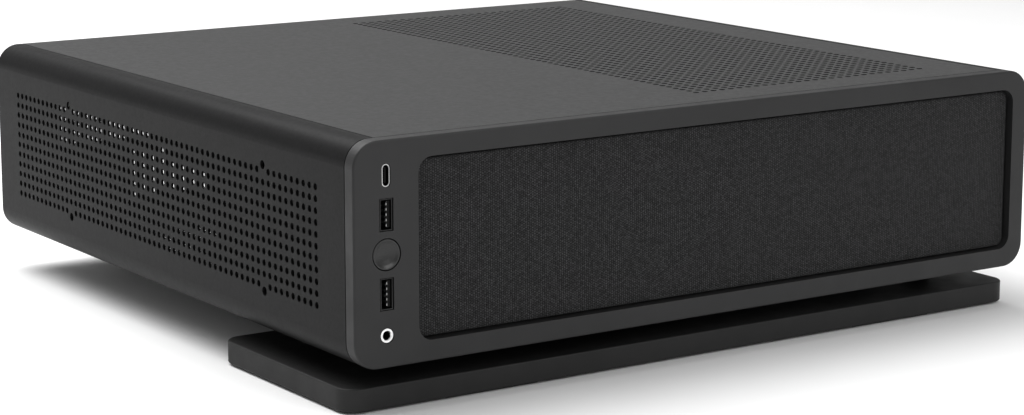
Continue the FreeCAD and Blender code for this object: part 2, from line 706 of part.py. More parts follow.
def build_power_button():
    """Push button: a dished cap, a rim that rests behind the bezel, and a stem to the switch."""
    body = new_body("power_button")
    move(body, "port_x", FRONT, f"{FLOOR} + button_rise")
    section = sketch_on(body, "YZ_Plane")
    profile = [("0.2", "0"), ("0.2", "button_radius"), ("bezel_depth + 0.25", "button_radius"),
               ("bezel_depth + 0.25", "button_radius + 1"), ("bezel_depth + 1.15", "button_radius + 1"),
               ("bezel_depth + 1.15", "2"), ("bezel_depth + 3.4", "2"), ("bezel_depth + 3.4", "0")]
    draw_polygon(section, profile)
    turned = body.newObject("PartDesign::Revolution", "Revolution")
    turned.Profile = section
    turned.ReferenceAxis = (next(item for item in body.Origin.OriginFeatures if item.Role == "Y_Axis"),
                            [""])
    turned.Angle = 360
    dish = sketch_on(body, "YZ_Plane")
    draw_polygon(dish, [("0.1", "0"), ("0.1", "button_radius - 0.55"), ("0.2", "button_radius - 0.55"),
                        ("0.2 + button_dish * 0.45", "button_radius * 0.72"),
                        ("0.2 + button_dish * 0.82", "button_radius * 0.42"),
                        ("0.2 + button_dish", "button_radius * 0.14"), ("0.2 + button_dish", "0")])
    hollow = body.newObject("PartDesign::Groove", "Groove")
    hollow.Profile = dish
    hollow.ReferenceAxis = (next(item for item in body.Origin.OriginFeatures if item.Role == "Y_Axis"),
                            [""])
    hollow.Angle = 360


# ---------------------------------------------------------------- fans

def fan_frame(label, side, deep, x, y, z):
    """Square fan frame: a round bore, four ribs, and the motor plate and shaft they hold."""
    body = new_body(label)
    move(body, x, y, z)
    outline = sketch_on(body, "XY_Plane")
    draw_box(outline, f"-{side} / 2", f"-{side} / 2", f"{side} / 2", f"{side} / 2")
    rounded = fillet(body, pad(body, outline, deep), along("z"), f"{side} / 20")
    bore = sketch_on(body, "XY_Plane")
    draw_circle(bore, "0", "0", f"{side} / 2 - 2")
    for across in (-1, 1):
        for along_side in (-1, 1):
            draw_circle(bore, f"({across}) * ({side} / 2 - 4.5)",
                        f"({along_side}) * ({side} / 2 - 4.5)", "2.1")
    pocket(body, bore)
    plate = sketch_on(body, "XY_Plane")
    draw_circle(plate, "0", "0", f"{side} * 0.16")
    pad(body, plate, "2")
    shaft = sketch_on(body, "XY_Plane")
    draw_circle(shaft, "0", "0", "shaft_radius")
    pad(body, shaft, "2.6 + shaft_reach")
    for wide, tall in ((f"{side} / 2 - 1.5", "1.6"), ("1.6", f"{side} / 2 - 1.5")):
        rib = sketch_on(body, "XY_Plane")
        draw_box(rib, f"-({wide})", f"-({tall})", wide, tall)
        pad(body, rib, "2")


def fan_rotor(label, radius, hub, deep, blades, x, y, z):
    """A hub with swept blades, turning about its own Z axis."""
    body = new_body(label)
    move(body, x, y, z)
    disc = sketch_on(body, "XY_Plane")
    draw_circle(disc, "0", "0", hub)
    pad(body, disc, deep)
    bore = sketch_on(body, "XY_Plane")
    draw_circle(bore, "0", "0", "shaft_radius + shaft_clearance")
    pocket(body, bore, "shaft_reach + 0.5", reverse=True)
    blade = body.newObject("PartDesign::AdditiveLoft", "Blade")
    sections = []
    for reach, spread, shift in ((f"{hub} - 1.5", f"{hub} * 0.42", "0"),
                                 (f"{radius} * 0.88", f"{radius} * 0.26", f"{radius} * 0.15")):
        section = sketch_on(body, "YZ_Plane", reach)
        draw_polygon(section, [(f"{shift} - {spread}", "0.6"), (f"{shift} - {spread} + 1.2", "0.6"),
                               (f"{shift} + {spread}", f"{deep} - 0.6"),
                               (f"{shift} + {spread} - 1.2", f"{deep} - 0.6")])
        sections.append(section)
    blade.Profile = sections[0]
    blade.Sections = [(sections[1], [""])]
    blade.Ruled = True
    polar_pattern(body, blade, blades)


def build_case_fans():
    for name, side in (("front", -1), ("rear", 1)):
        y = f"case_fan_y + ({side}) * case_fan_pitch / 2"
        fan_frame(f"case_fan_frame_{name}", "case_fan_side", "case_fan_deep", "case_fan_x", y,
                  "case_fan_level")
        fan_rotor(f"case_fan_rotor_{name}", "66", "22", "11.5", 9, "case_fan_x", y,
                  "case_fan_level + 2.6")


# ---------------------------------------------------------------- chassis inside

def build_chassis():
    wall_back = f"{WALL_FRONT} + sheet"
    wall = block(("mid_wall_x", wall_back, INSIDE_FLOOR),
                 ("mid_wall_x + sheet", "mid_wall_back", "rail_level"))
    pass_through = block(("mid_wall_x - 1", "-165", "60"), ("mid_wall_x + sheet + 1", "-145", "82"))
    cut(wall, [pass_through], "mid_wall")
    rails = [block((start, wall_back, "rail_level"),
                   (f"{start} + rail_width", REAR_INSIDE, "case_fan_level"))
             for start in ("mid_wall_x", "right_rail_x")]
    group(rails, "fan_rails")
    join([block((f"{LEFT} + skin", "beam_front", "tray_level - 12"),
                (f"{LEFT} + 8", "beam_front + beam_deep", "tray_level - 7")),
          block((f"{LEFT} + 4", "beam_front", "tray_level - 12"),
                ("mid_wall_x", "beam_front + beam_deep", "tray_level"))],
         "cross_beam")
    block((f"{LEFT} + 15", "beam_front", "tray_level"),
          ("mid_wall_x", REAR_INSIDE, "tray_level + sheet"), "board_tray")
    heads = [rod("Y", (x, f"{BACK} - rear_recess", z), "3.4", "2.2")
             for x in (f"{LEFT} + 12", f"{RIGHT} - 12") for z in (f"{FLOOR} + 12", f"{ROOF} - 12")]
    heads += [rod("Y", (x, f"{BACK} - rear_recess", "slot_high_level + 3.6"), "3", "2.2")
              for x in ("slot_left + 8", "slot_right - 8")]
    group(heads, "rear_thumbscrews")


# ---------------------------------------------------------------- motherboard

BOARD_BACK = "board_front + board_side"
BOARD_RIGHT = "board_left + board_side"


def board_hole_spots():
    xs = [f"{BOARD_RIGHT} - board_hole_inset_x",
          f"{BOARD_RIGHT} - board_hole_inset_x - board_hole_span_x"]
    ys = ["board_front + board_hole_inset_y", "board_front + board_hole_inset_y + board_hole_span_y"]
    return [(x, y) for x in xs for y in ys]


def build_motherboard():
    """Board hung under its tray with the parts facing down, so that the cooler breathes from below."""
    board = new_body("motherboard")
    outline = sketch_on(board, "XY_Plane", "board_level")
    draw_box(outline, "board_left", "board_front", BOARD_RIGHT, BOARD_BACK)
    pad(board, outline, "board_thick")
    holes = sketch_on(board, "XY_Plane", "board_level")
    for x, y in board_hole_spots():
        draw_circle(holes, x, y, "2")
    pocket(board, holes)
    upper = "board_level + board_thick"
    posts = [cut(rod("Z", (x, y, upper), "3", f"tray_level - ({upper})"),
                 [rod("Z", (x, y, upper), "1.6", "4.5")])
             for x, y in board_hole_spots()]
    screws = [join([rod("Z", (x, y, "board_level - 2"), "3", "2"),
                    rod("Z", (x, y, "board_level - 1"), "1.5", "6")])
              for x, y in board_hole_spots()]
    group(posts + screws, "board_fixings")

    half_chip, half_socket = "chip_side / 2", "socket_side / 2"
    sockets = [join([block((f"cpu_x - {half_socket}", f"cpu_y - {half_socket}", "board_level - 4"),
                           (f"cpu_x + {half_socket}", f"cpu_y + {half_socket}", "board_level")),
                     block((f"cpu_x - {half_chip}", f"cpu_y - {half_chip}", "cooler_level"),
                           (f"cpu_x + {half_chip}", f"cpu_y + {half_chip}", "board_level - 4"))])]
    modules = []
    for index in range(2):
        y = f"memory_front + {index} * memory_pitch"
        slot = block(("memory_left - 4", y, "board_level - 8"),
                     ("memory_left + memory_long + 4", f"{y} + 6", "board_level"))
        groove = block(("memory_left - 0.2", f"{y} + 2.2", "board_level - 8"),
                       ("memory_left + memory_long + 0.2", f"{y} + 3.8", "board_level - 3"))
        sockets.append(cut(slot, [groove]))
        modules.append(join([block(("memory_left", f"{y} + 2.3", "board_level - 38"),
                                   ("memory_left + memory_long", f"{y} + 3.7", "board_level - 3")),
                             block(("memory_left + 2", f"{y} + 0.4", "board_level - 37"),
                                   ("memory_left + memory_long - 2", f"{y} + 5.6", "board_level - 9"))]))
    group(modules, "memory_modules")
    block((f"{BOARD_RIGHT} - 32", "45", "board_level - 6"),
          (f"{BOARD_RIGHT} - 11", "125", "board_level"), "m2_drive")
    vrm = block(("board_left + 7", "76", "board_level - 14"), ("board_left + 27", "154", "board_level"))
    grooves = [block((f"board_left + 10 + {index} * 4", "76", "board_level - 14"),
                     (f"board_left + 12 + {index} * 4", "154", "board_level - 5")) for index in range(4)]
    cut(vrm, grooves, "regulator_heatsink")
    slot = block((f"{BOARD_RIGHT} - 9.8", "40", "board_level - 11"),
                 (f"{BOARD_RIGHT} - 2.2", "129", "board_level"))
    groove = block((f"{BOARD_RIGHT} - 7", "41.5", "board_level - 11"),
                   (f"{BOARD_RIGHT} - 5", "127.5", "board_level - 3"))
    sockets.append(cut(slot, [groove]))
    sockets.append(block(("board_left + 1", "30", "board_level - 16"),
                         ("board_left + 11", "68", "board_level")))
    sockets.append(block(("board_left + 1", "12", "board_level - 9"),
                         ("board_left + 9", "17", "board_level")))
    group(sockets, "board_sockets")


def build_cooler():
    sink = new_body("cpu_heatsink")
    move(sink, "cpu_x", "cpu_y", "cooler_level")
    base = sketch_on(sink, "XY_Plane")
    draw_box(base, "-cooler_side / 2", "-cooler_side / 2", "cooler_side / 2", "cooler_side / 2")
    pad(sink, base, "cooler_base", reverse=True)
    fin = sketch_on(sink, "XY_Plane", "-cooler_base")
    draw_box(fin, "-cooler_side / 2", "-cooler_side / 2", "-cooler_side / 2 + fin_thick",
             "cooler_side / 2")
    first = pad(sink, fin, "cooler_fin_high", reverse=True)
    linear_pattern(sink, first, "X_Axis", "cooler_side - fin_thick", "cooler_fins")
    fan_level = "cooler_level - cooler_base - cooler_fin_high - cpu_fan_deep"
    fan_frame("cpu_fan_frame", "cpu_fan_side", "cpu_fan_deep", "cpu_x", "cpu_y", fan_level)
    fan_rotor("cpu_fan_rotor", "37", "13", "11", 7, "cpu_x", "cpu_y", f"{fan_level} + 2.8")


def port_shell(left, right, low, high, depth="14", start=None):
    """A rear socket: a metal box open to the rear, with its tongue."""
    front = start or f"{BOARD_BACK} - 13"
    back = f"{front} + {depth} + 2"
    shell = block((left, front, low), (right, back, high))
    hollow = block((f"{left} + 0.5", f"{front} + 4", f"{low} + 0.5"),
                   (f"{right} - 0.5", back, f"{high} - 0.5"))
    middle = f"(({low}) + ({high})) / 2"
    tongue = block((f"{left} + 1.5", f"{front} + 4", f"{middle} - 0.8"),
                   (f"{right} - 1.5", f"{back} - 1", f"{middle} + 0.8"))
    return join([cut(shell, [hollow]), tongue])


def port_bays():
    """Across and up extents of each rear socket below the board, as (left, right, low, high)."""
    board = "board_level"
    bays = {"usb": [], "video": [], "audio": [], "lan": []}
    for left in (-155, -116, -70):
        bays["usb"] += [(f"{left}", f"{left} + 13.1", f"{board} - 7.2", f"{board} - 0.9"),
                        (f"{left}", f"{left} + 13.1", f"{board} - 15.2", f"{board} - 8.9")]
    bays["video"] = [("-137", "-121.5", f"{board} - 6.6", f"{board} - 0.6"),
                     ("-137", "-121.5", f"{board} - 14.6", f"{board} - 8")]
    bays["lan"] = [("-93", "-77", f"{board} - 13.6", f"{board}")]
    bays["audio"] = [(f"{left}", f"{left} + 11.6", f"{board} - 12", f"{board}")
                     for left in (-50, -38, -26)]
    return bays


def build_rear_ports():
    bays = port_bays()
    sockets = [port_shell(*bay) for bay in bays["usb"] + bays["video"]]
    left, right, low, high = bays["lan"][0]
    front = f"{BOARD_BACK} - 16"
    jack = block((left, front, low), (right, f"{BOARD_BACK} + 3", high))
    hollow = block((f"{left} + 2", f"{front} + 5", f"{low} + 1.4"),
                   (f"{right} - 2", f"{BOARD_BACK} + 3", f"{high} - 3.4"))
    sockets.append(cut(jack, [hollow]))
    for left, right, low, high in bays["audio"]:
        body = block((left, f"{BOARD_BACK} - 12", low), (right, f"{BOARD_BACK} + 1.4", high))
        centre = (f"({left} + {right}) / 2", f"{BOARD_BACK} - 6", f"({low} + {high}) / 2")
        collar = rod("Y", centre, "4", "9")
        sockets.append(cut(join([body, collar]), [rod("Y", centre, "1.8", "10")]))
    group(sockets, "rear_ports")

    low, high = f"{FLOOR} + aperture_low - 1.5", f"{FLOOR} + aperture_high + 1.5"
    plate = block(("aperture_left - 1.5", f"{REAR_INSIDE} - 0.8", low),
                  ("aperture_right + 1.5", REAR_INSIDE, high))
    openings = []
    for kind in bays.values():
        for left, right, bottom, top in kind:
            openings.append(block((f"{left} - 0.3", f"{REAR_INSIDE} - 1.8", f"{bottom} - 0.3"),
                                  (f"{right} + 0.3", f"{REAR_INSIDE} + 1", f"{top} + 0.3")))
    for column in range(23):
        for row in range(2):
            x, z = f"aperture_left + 4 + {column} * 6.6", f"{FLOOR} + aperture_low + 1.5 + {row} * 11.4"
            openings.append(block((x, f"{REAR_INSIDE} - 1.8", z),
                                  (f"{x} + 5.4", f"{REAR_INSIDE} + 1", f"{z} + 10.2")))
    cut(plate, openings, "io_shield")


# ---------------------------------------------------------------- graphics card

def build_graphics_card():
    riser_left = f"{BOARD_RIGHT} - 6.8"
    riser = block((riser_left, "38", "34"), (f"{riser_left} + 1.6", "131", "board_level - 11"))
    tab = block((riser_left, "42", "board_level - 11"),
                (f"{riser_left} + 1.6", "127", "board_level - 3.2"))
    slot = block((f"{riser_left} + 1.6", "40", "card_level - 3"),
                 ("card_left - 1", "129", "card_level + 4.6"))
    groove = block(("card_left - 8.2", "45.5", "card_level - 0.1"),
                   ("card_left - 1", "127.5", "card_level + board_thick + 0.1"))
    cut(join([riser, tab, slot]), [groove], "riser_card")

    card = new_body("graphics_board")
    outline = sketch_on(card, "XY_Plane", "card_level")
    draw_polygon(outline, [("card_left", "card_front"), ("card_right", "card_front"),
                           ("card_right", "card_back"),
                           ("card_left", "card_back"), ("card_left", "127"), ("card_left - 8", "127"),
                           ("card_left - 8", "46"), ("card_left", "46")])
    pad(card, outline, "board_thick")
    socket = sketch_on(card, "XY_Plane", "card_level + board_thick")
    draw_box(socket, "card_right - 24", "card_front", "card_right - 2", "card_front + 8")
    pad(card, socket, "9")
    block(("card_left + 1", "card_front", "card_level - 1.2"),
          ("card_right - 1", "card_back - 8", "card_level"),
          "graphics_backplate")

    sink = new_body("graphics_heatsink")
    base_level = "card_level + board_thick"
    base = sketch_on(sink, "XY_Plane", base_level)
    draw_box(base, "30", "card_front + 12", "card_right - 6", "card_back - 22")
    pad(sink, base, "4")
    fin = sketch_on(sink, "XY_Plane", f"{base_level} + 4")
    draw_box(fin, "shroud_left + 4", "card_front + 12", "shroud_right - 4", "card_front + 12 + fin_thick")
    first = pad(sink, fin, "24")
    linear_pattern(sink, first, "Y_Axis", "(card_fins - 1) * card_fin_pitch", "card_fins")
    motors = sketch_on(sink, "XY_Plane", f"{base_level} + 27")
    for y in ("card_fan_front_y", "card_fan_rear_y"):
        draw_circle(motors, "card_fan_x", y, "16")
    pad(sink, motors, "5")
    shafts = sketch_on(sink, "XY_Plane", f"{base_level} + 27")
    for y in ("card_fan_front_y", "card_fan_rear_y"):
        draw_circle(shafts, "card_fan_x", y, "shaft_radius")
    pad(sink, shafts, "5 + shaft_reach")

    shroud = block(("shroud_left", "shroud_front", "shroud_low"),
                   ("shroud_right", "shroud_back", "shroud_high"))
    hollow = block(("shroud_left + 2", "shroud_front + 2", "shroud_low - 1"),
                   ("shroud_right - 2", "shroud_back - 2", "shroud_high - 2"))
    mouths = [rod("Z", ("card_fan_x", y, "shroud_high - 3"), "card_fan_radius + 2", "4")
              for y in ("card_fan_front_y", "card_fan_rear_y")]
    power = block(("card_right - 26", "shroud_front - 1", "shroud_low - 1"),
                  ("card_right", "card_front + 10", "card_level + board_thick + 10"))
    cut(shroud, [hollow, power] + mouths, "graphics_shroud")
    for name in ("front", "rear"):
        fan_rotor(f"graphics_fan_rotor_{name}", "card_fan_radius", "18", "11", 9, "card_fan_x",
                  f"card_fan_{name}_y",
                  f"{base_level} + 32.5")

    bracket = block(("slot_left - 4", f"{REAR_INSIDE} - 0.9", "slot_low_level - 1.5"),
                    ("slot_right + 4", REAR_INSIDE, "slot_high_level + 1.5"))
    bays = [(f"slot_left + 6 + {index} * 25", f"slot_left + 24 + {index} * 25") for index in range(4)]
    low, high = base_level, f"{base_level} + 6.6"
    openings = [block((f"{left} - 0.3", f"{REAR_INSIDE} - 2", f"{low} - 0.3"),
                      (f"{right} + 0.3", f"{REAR_INSIDE} + 1", f"{high} + 0.3"))
                for left, right in bays]
    for index in range(14):
        x = f"slot_left + 5 + {index} * 7.4"
        openings.append(block((x, f"{REAR_INSIDE} - 2", "slot_low_level + 13"),
                              (f"{x} + 4.6", f"{REAR_INSIDE} + 1", "slot_high_level - 3")))
    sockets = [port_shell(left, right, low, high, depth="14.5", start="card_back - 12.5") for left,
               right in bays]
    group([cut(bracket, openings)] + sockets, "graphics_bracket")


# ---------------------------------------------------------------- power supply and mains

PSU_RIGHT = "psu_left + psu_width"
PSU_BACK = "psu_front + psu_deep"
PSU_TOP = "psu_level + psu_high"


def mains_inlet(x, z, outer_face):
    """Mains inlet: a flange on the outer face, a cavity open to +Y and three blades."""
    low_y, high_y = f"{outer_face} - 24", outer_face
    body = block((f"{x} - 13.8", low_y, f"{z} - 10"), (f"{x} + 13.8", high_y, f"{z} + 10"))
    hollow = block((f"{x} - 12.1", f"{low_y} + 8", f"{z} - 8.3"),
                   (f"{x} + 12.1", f"{high_y} + 3", f"{z} + 8.3"))
    flange = block((f"{x} - 24", outer_face, f"{z} - 12"),
                   (f"{x} + 24", f"{outer_face} + 2.6", f"{z} + 12"))
    blades = [block((f"{x} + ({shift}) - 1", f"{low_y} + 7", f"{z} + ({rise}) - 2"),
                    (f"{x} + ({shift}) + 1", f"{high_y} - 3", f"{z} + ({rise}) + 2"))
              for shift, rise in ((-7, -2), (0, 2), (7, -2))]
    return join([cut(join([body, flange]), [hollow])] + blades)


def build_power_supply():
    wall = "sheet"
    box = block(("psu_left", "psu_front", "psu_level"), (PSU_RIGHT, PSU_BACK, PSU_TOP))
    hollow = block((f"psu_left + {wall}", f"psu_front + {wall}", f"psu_level + {wall}"),
                   (f"{PSU_RIGHT} - {wall}", f"{PSU_BACK} - {wall}", f"{PSU_TOP} - {wall}"))
    mouth = rod("Z", ("psu_fan_x", "psu_fan_y", "psu_level - 1"), "psu_fan_radius", "3")
    inlet_hole = block(("socket_x - 14", f"{PSU_BACK} - 2", "socket_level - 10.2"),
                       ("socket_x + 14", f"{PSU_BACK} + 1", "socket_level + 10.2"))
    rocker_hole = block(("rocker_x - 7", f"{PSU_BACK} - 2", "rocker_level - 10"),
                        ("rocker_x + 7", f"{PSU_BACK} + 1", "rocker_level + 10"))
    spokes = [block(("psu_fan_x - psu_fan_radius", "psu_fan_y - 1.5", "psu_level"),
                    ("psu_fan_x + psu_fan_radius", "psu_fan_y + 1.5", "psu_level + sheet")),
              block(("psu_fan_x - 1.5", "psu_fan_y - psu_fan_radius", "psu_level"),
                    ("psu_fan_x + 1.5", "psu_fan_y + psu_fan_radius", "psu_level + sheet")),
              rod("Z", ("psu_fan_x", "psu_fan_y", "psu_level"), "14", "1.4"),
              rod("Z", ("psu_fan_x", "psu_fan_y", "psu_level"), "shaft_radius", "2 + shaft_reach")]
    join([cut(box, [hollow, inlet_hole, rocker_hole, mouth])] + spokes, "psu_case")
    board_level = f"{PSU_TOP} - 8"
    join([block(("psu_left + sheet", "psu_front + 6", board_level),
                (f"{PSU_RIGHT} - 6", f"{PSU_BACK} - 30", f"{board_level} + 1.6")),
          block(("psu_left + 12", "psu_front + 12", f"{board_level} - 30"),
                ("psu_left + 18", f"{PSU_BACK} - 34", board_level)),
          block(("psu_left + 40", "psu_front + 24", f"{board_level} - 28"),
                ("psu_left + 72", "psu_front + 58", board_level)),
          rod("Z", (f"{PSU_RIGHT} - 26", "psu_front + 30", f"{board_level} - 28"), "11", "28")],
         "psu_board")
    fan_rotor("psu_fan_rotor", "(psu_fan_radius - 2.5)", "14", "11", 7, "psu_fan_x", "psu_fan_y",
              "psu_level + 2")
    frame = block(("rocker_x - 6.8", f"{PSU_BACK} - 10", "rocker_level - 9.8"),
                  ("rocker_x + 6.8", f"{PSU_BACK} + 1", "rocker_level + 9.8"))
    well = block(("rocker_x - 5", f"{PSU_BACK} - 8", "rocker_level - 8"),
                 ("rocker_x + 5", f"{PSU_BACK} + 2", "rocker_level + 8"))
    pin_holes = rod("X", ("rocker_x - 6", f"{PSU_BACK} - 2", "rocker_level"),
                    "rocker_pin + shaft_clearance", "12")
    group([mains_inlet("socket_x", "socket_level", PSU_BACK), cut(frame, [well, pin_holes])],
          "psu_inlet")
    rocker = new_body("psu_rocker")
    rocker.Placement = FreeCAD.Placement(V(), FreeCAD.Rotation(V(1, 0, 0), size("rocker_tilt")))
    move(rocker, "rocker_x", f"{PSU_BACK} - 2", "rocker_level")
    section = sketch_on(rocker, "YZ_Plane", "-4.7")
    draw_polygon(section, [("-2", "-3"), ("1.2", "-7"), ("3.4", "-6.6"), ("1.6", "0"), ("3.4", "6.6"),
                           ("1.2", "7"), ("-2", "3")])
    pad(rocker, section, "9.4")
    pin = sketch_on(rocker, "YZ_Plane", "-5.6")
    draw_circle(pin, "0", "0", "rocker_pin")
    pad(rocker, pin, "11.2")
    node("rear_inlet", mains_inlet("inlet_x", "inlet_level", f"{BACK} - rear_recess"))
    cut(block(("socket_x - 11.6", f"{PSU_BACK} - 8", "socket_level - 7.9"),
              ("socket_x + 11.6", f"{PSU_BACK} + 22", "socket_level + 7.9")),
        [block((f"socket_x + ({shift}) - 1.2", f"{PSU_BACK} - 9", f"socket_level + ({rise}) - 2.2"),
               (f"socket_x + ({shift}) + 1.2", f"{PSU_BACK} + 1", f"socket_level + ({rise}) + 2.2"))
         for shift, rise in ((-7, -2), (0, 2), (7, -2))], "lead_plug")


def build_drive():
    plate = block(("-16.8", "-140", "24"), ("-15.8", "-40", "94"))
    foot = block(("-15.8", "-140", INSIDE_FLOOR), ("-4", "-40", f"{INSIDE_FLOOR} + 1"))
    web = block(("-16.8", "-140", INSIDE_FLOOR), ("-15.8", "-40", "24"))
    join([plate, foot, web], "drive_bracket")
    block(("-23.8", "-140", "24"), ("-16.8", "-40", "94"), "drive")


# ---------------------------------------------------------------- internal cables

def tube(label, points, radius):
    """A round cable along straight runs joined by tangent arcs as large as the runs allow."""
    edges = []
    spot = points[0]
    for before, corner, after in zip(points, points[1:], points[2:]):
        into, out = corner.sub(before), after.sub(corner)
        turn = into.getAngle(out)
        bend = 0.45 * min(into.Length, out.Length) / math.tan(turn / 2)
        setback = bend * math.tan(turn / 2)
        start = corner.sub(V(into).normalize().multiply(setback))
        end = corner.add(V(out).normalize().multiply(setback))
        inward = V(out).normalize().sub(V(into).normalize()).normalize()
        middle = corner.add(inward.multiply(bend / math.cos(turn / 2) - bend))
        edges.append(Part.LineSegment(spot, start).toShape())
        edges.append(Part.Arc(start, middle, end).toShape())
        print(label, "bend radius", round(bend, 1))
        spot = end
    edges.append(Part.LineSegment(spot, points[-1]).toShape())
    path = Part.Wire(edges)
    start_ring = Part.Wire([Part.makeCircle(radius, points[0], points[1].sub(points[0]))])
    solid = path.makePipeShell([start_ring], True, True)
    print(label, "volume ratio", round(solid.Volume / (math.pi * radius ** 2 * path.Length), 4))
    own_shape(label, solid)


def build_cables():
    inlet_x, inlet_z = size("inlet_x"), size("inlet_level")
    socket_x, socket_z = size("socket_x"), size("socket_level")
    psu_front = size("psu_front")
    plug_back = psu_front + size("psu_deep") + 22
    tail = size("case_depth") / 2 - size("rear_recess") - 24
    mains = [V(inlet_x, tail, inlet_z), V(inlet_x, 130, inlet_z), V(-142, 105, 37), V(-130, 78, 37),
             V(-112, 55, 41),
             V(socket_x, 32, socket_z), V(socket_x, plug_back, socket_z)]
    tube("inlet_lead", mains, size("lead_radius"))
    board_power = [V(-120, psu_front, 38), V(-120, -126, 38), V(-121, -144, 46), V(-123, -151, 63),
                   V(-126, -146, 80),
                   V(-131, -128, 90), V(-139, -98, 91.5), V(-147, -62, 91), V(-153, -28, 91),
                   V(-158, 0, 89.9),
                   V(-159, 17, 90.1), V(-159, 30, 90.1)]
    tube("board_power_cable", board_power, 3)
    socket = V(size("card_right") - 13, size("card_front"),
               size("card_level") + size("board_thick") + 4.5)
    card_power = [V(-60, psu_front, 44), V(-60, -124, 44), V(-52, -141, 50), V(-30, -152, 62),
                  V(-3, -156, 70),
                  V(26, -155, 71), V(54, -150, 66), V(80, -136, 57), V(98, -118, 48),
                  socket.sub(V(0, 13, 0))]
    tube("card_power_cable", card_power + [socket], 3)
    front_ports = [V(-163.95, -140, 87.5), V(-163.95, -122, 87.5), V(-164.6, -95, 91), V(-165.4, -62, 94),
                   V(-164, -30, 94.4), V(-160.6, -4, 96.6), V(-160.6, 12, 96.6)]
    tube("front_port_cable", front_ports, 1.8)


# ---------------------------------------------------------------- build, check and write

def check_all():
    doc.recompute()
    for thing in doc.Objects:
        if "Invalid" in thing.State or "Error" in thing.State:
            raise RuntimeError(f"{thing.Name} ({thing.Label}) is {thing.State}")
    for part in sub_parts:
        shape = part.Shape
        if shape.isNull() or not shape.isValid() or shape.Volume <= 0:
            raise RuntimeError(f"{part.Label} has no valid solid")


build_skins()
build_bezel()
build_insert()
build_stand()
build_front_ports()
build_power_button()
build_case_fans()
build_chassis()
build_motherboard()
build_cooler()
build_rear_ports()
build_graphics_card()
build_power_supply()
build_drive()
build_cables()
check_all()
os.makedirs("parts", exist_ok=True)
for part in sub_parts:
    part.Shape.exportStep(f"parts/{part.Label}.step")
print(len(sub_parts), "sub-parts")
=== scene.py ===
import json
import math

import bmesh
import bpy
from mathutils import Euler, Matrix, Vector


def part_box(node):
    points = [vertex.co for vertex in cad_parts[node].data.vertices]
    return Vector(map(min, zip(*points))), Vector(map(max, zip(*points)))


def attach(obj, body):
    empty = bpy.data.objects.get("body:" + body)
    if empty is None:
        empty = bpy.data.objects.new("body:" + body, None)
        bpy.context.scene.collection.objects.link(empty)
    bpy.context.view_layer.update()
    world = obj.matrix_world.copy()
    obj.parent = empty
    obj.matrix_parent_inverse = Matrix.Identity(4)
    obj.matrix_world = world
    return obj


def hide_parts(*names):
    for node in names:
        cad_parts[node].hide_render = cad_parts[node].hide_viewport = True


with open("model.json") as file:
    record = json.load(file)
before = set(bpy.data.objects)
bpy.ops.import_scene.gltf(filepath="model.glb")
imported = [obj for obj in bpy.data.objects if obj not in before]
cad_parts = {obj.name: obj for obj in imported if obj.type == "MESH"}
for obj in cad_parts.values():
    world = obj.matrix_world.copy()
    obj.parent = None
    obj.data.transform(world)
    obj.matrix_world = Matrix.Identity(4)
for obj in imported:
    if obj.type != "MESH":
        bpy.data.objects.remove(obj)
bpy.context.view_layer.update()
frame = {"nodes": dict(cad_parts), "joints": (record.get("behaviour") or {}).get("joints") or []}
nodes = frame["nodes"]
scene = bpy.context.scene
MM = 0.001
WORLD_STRENGTH = 0.42


# ---------------------------------------------------------------- camera

def make_camera():
    """Looks at the object from the front left, from a little above it."""
    data = bpy.data.cameras.new("camera")
    data.sensor_width = 36.0
    data.lens = 93.11
    data.shift_y = -0.03
    data.clip_start = 0.01
    data.clip_end = 60.0
    camera = bpy.data.objects.new("camera", data)
    camera.location = (-0.7176, -1.0789, 0.2944)
    camera.rotation_euler = Euler((math.radians(90 - 10.45), 0.0, math.radians(-33.98)))
    scene.collection.objects.link(camera)
    scene.camera = camera


make_camera()


# ---------------------------------------------------------------- material graphs

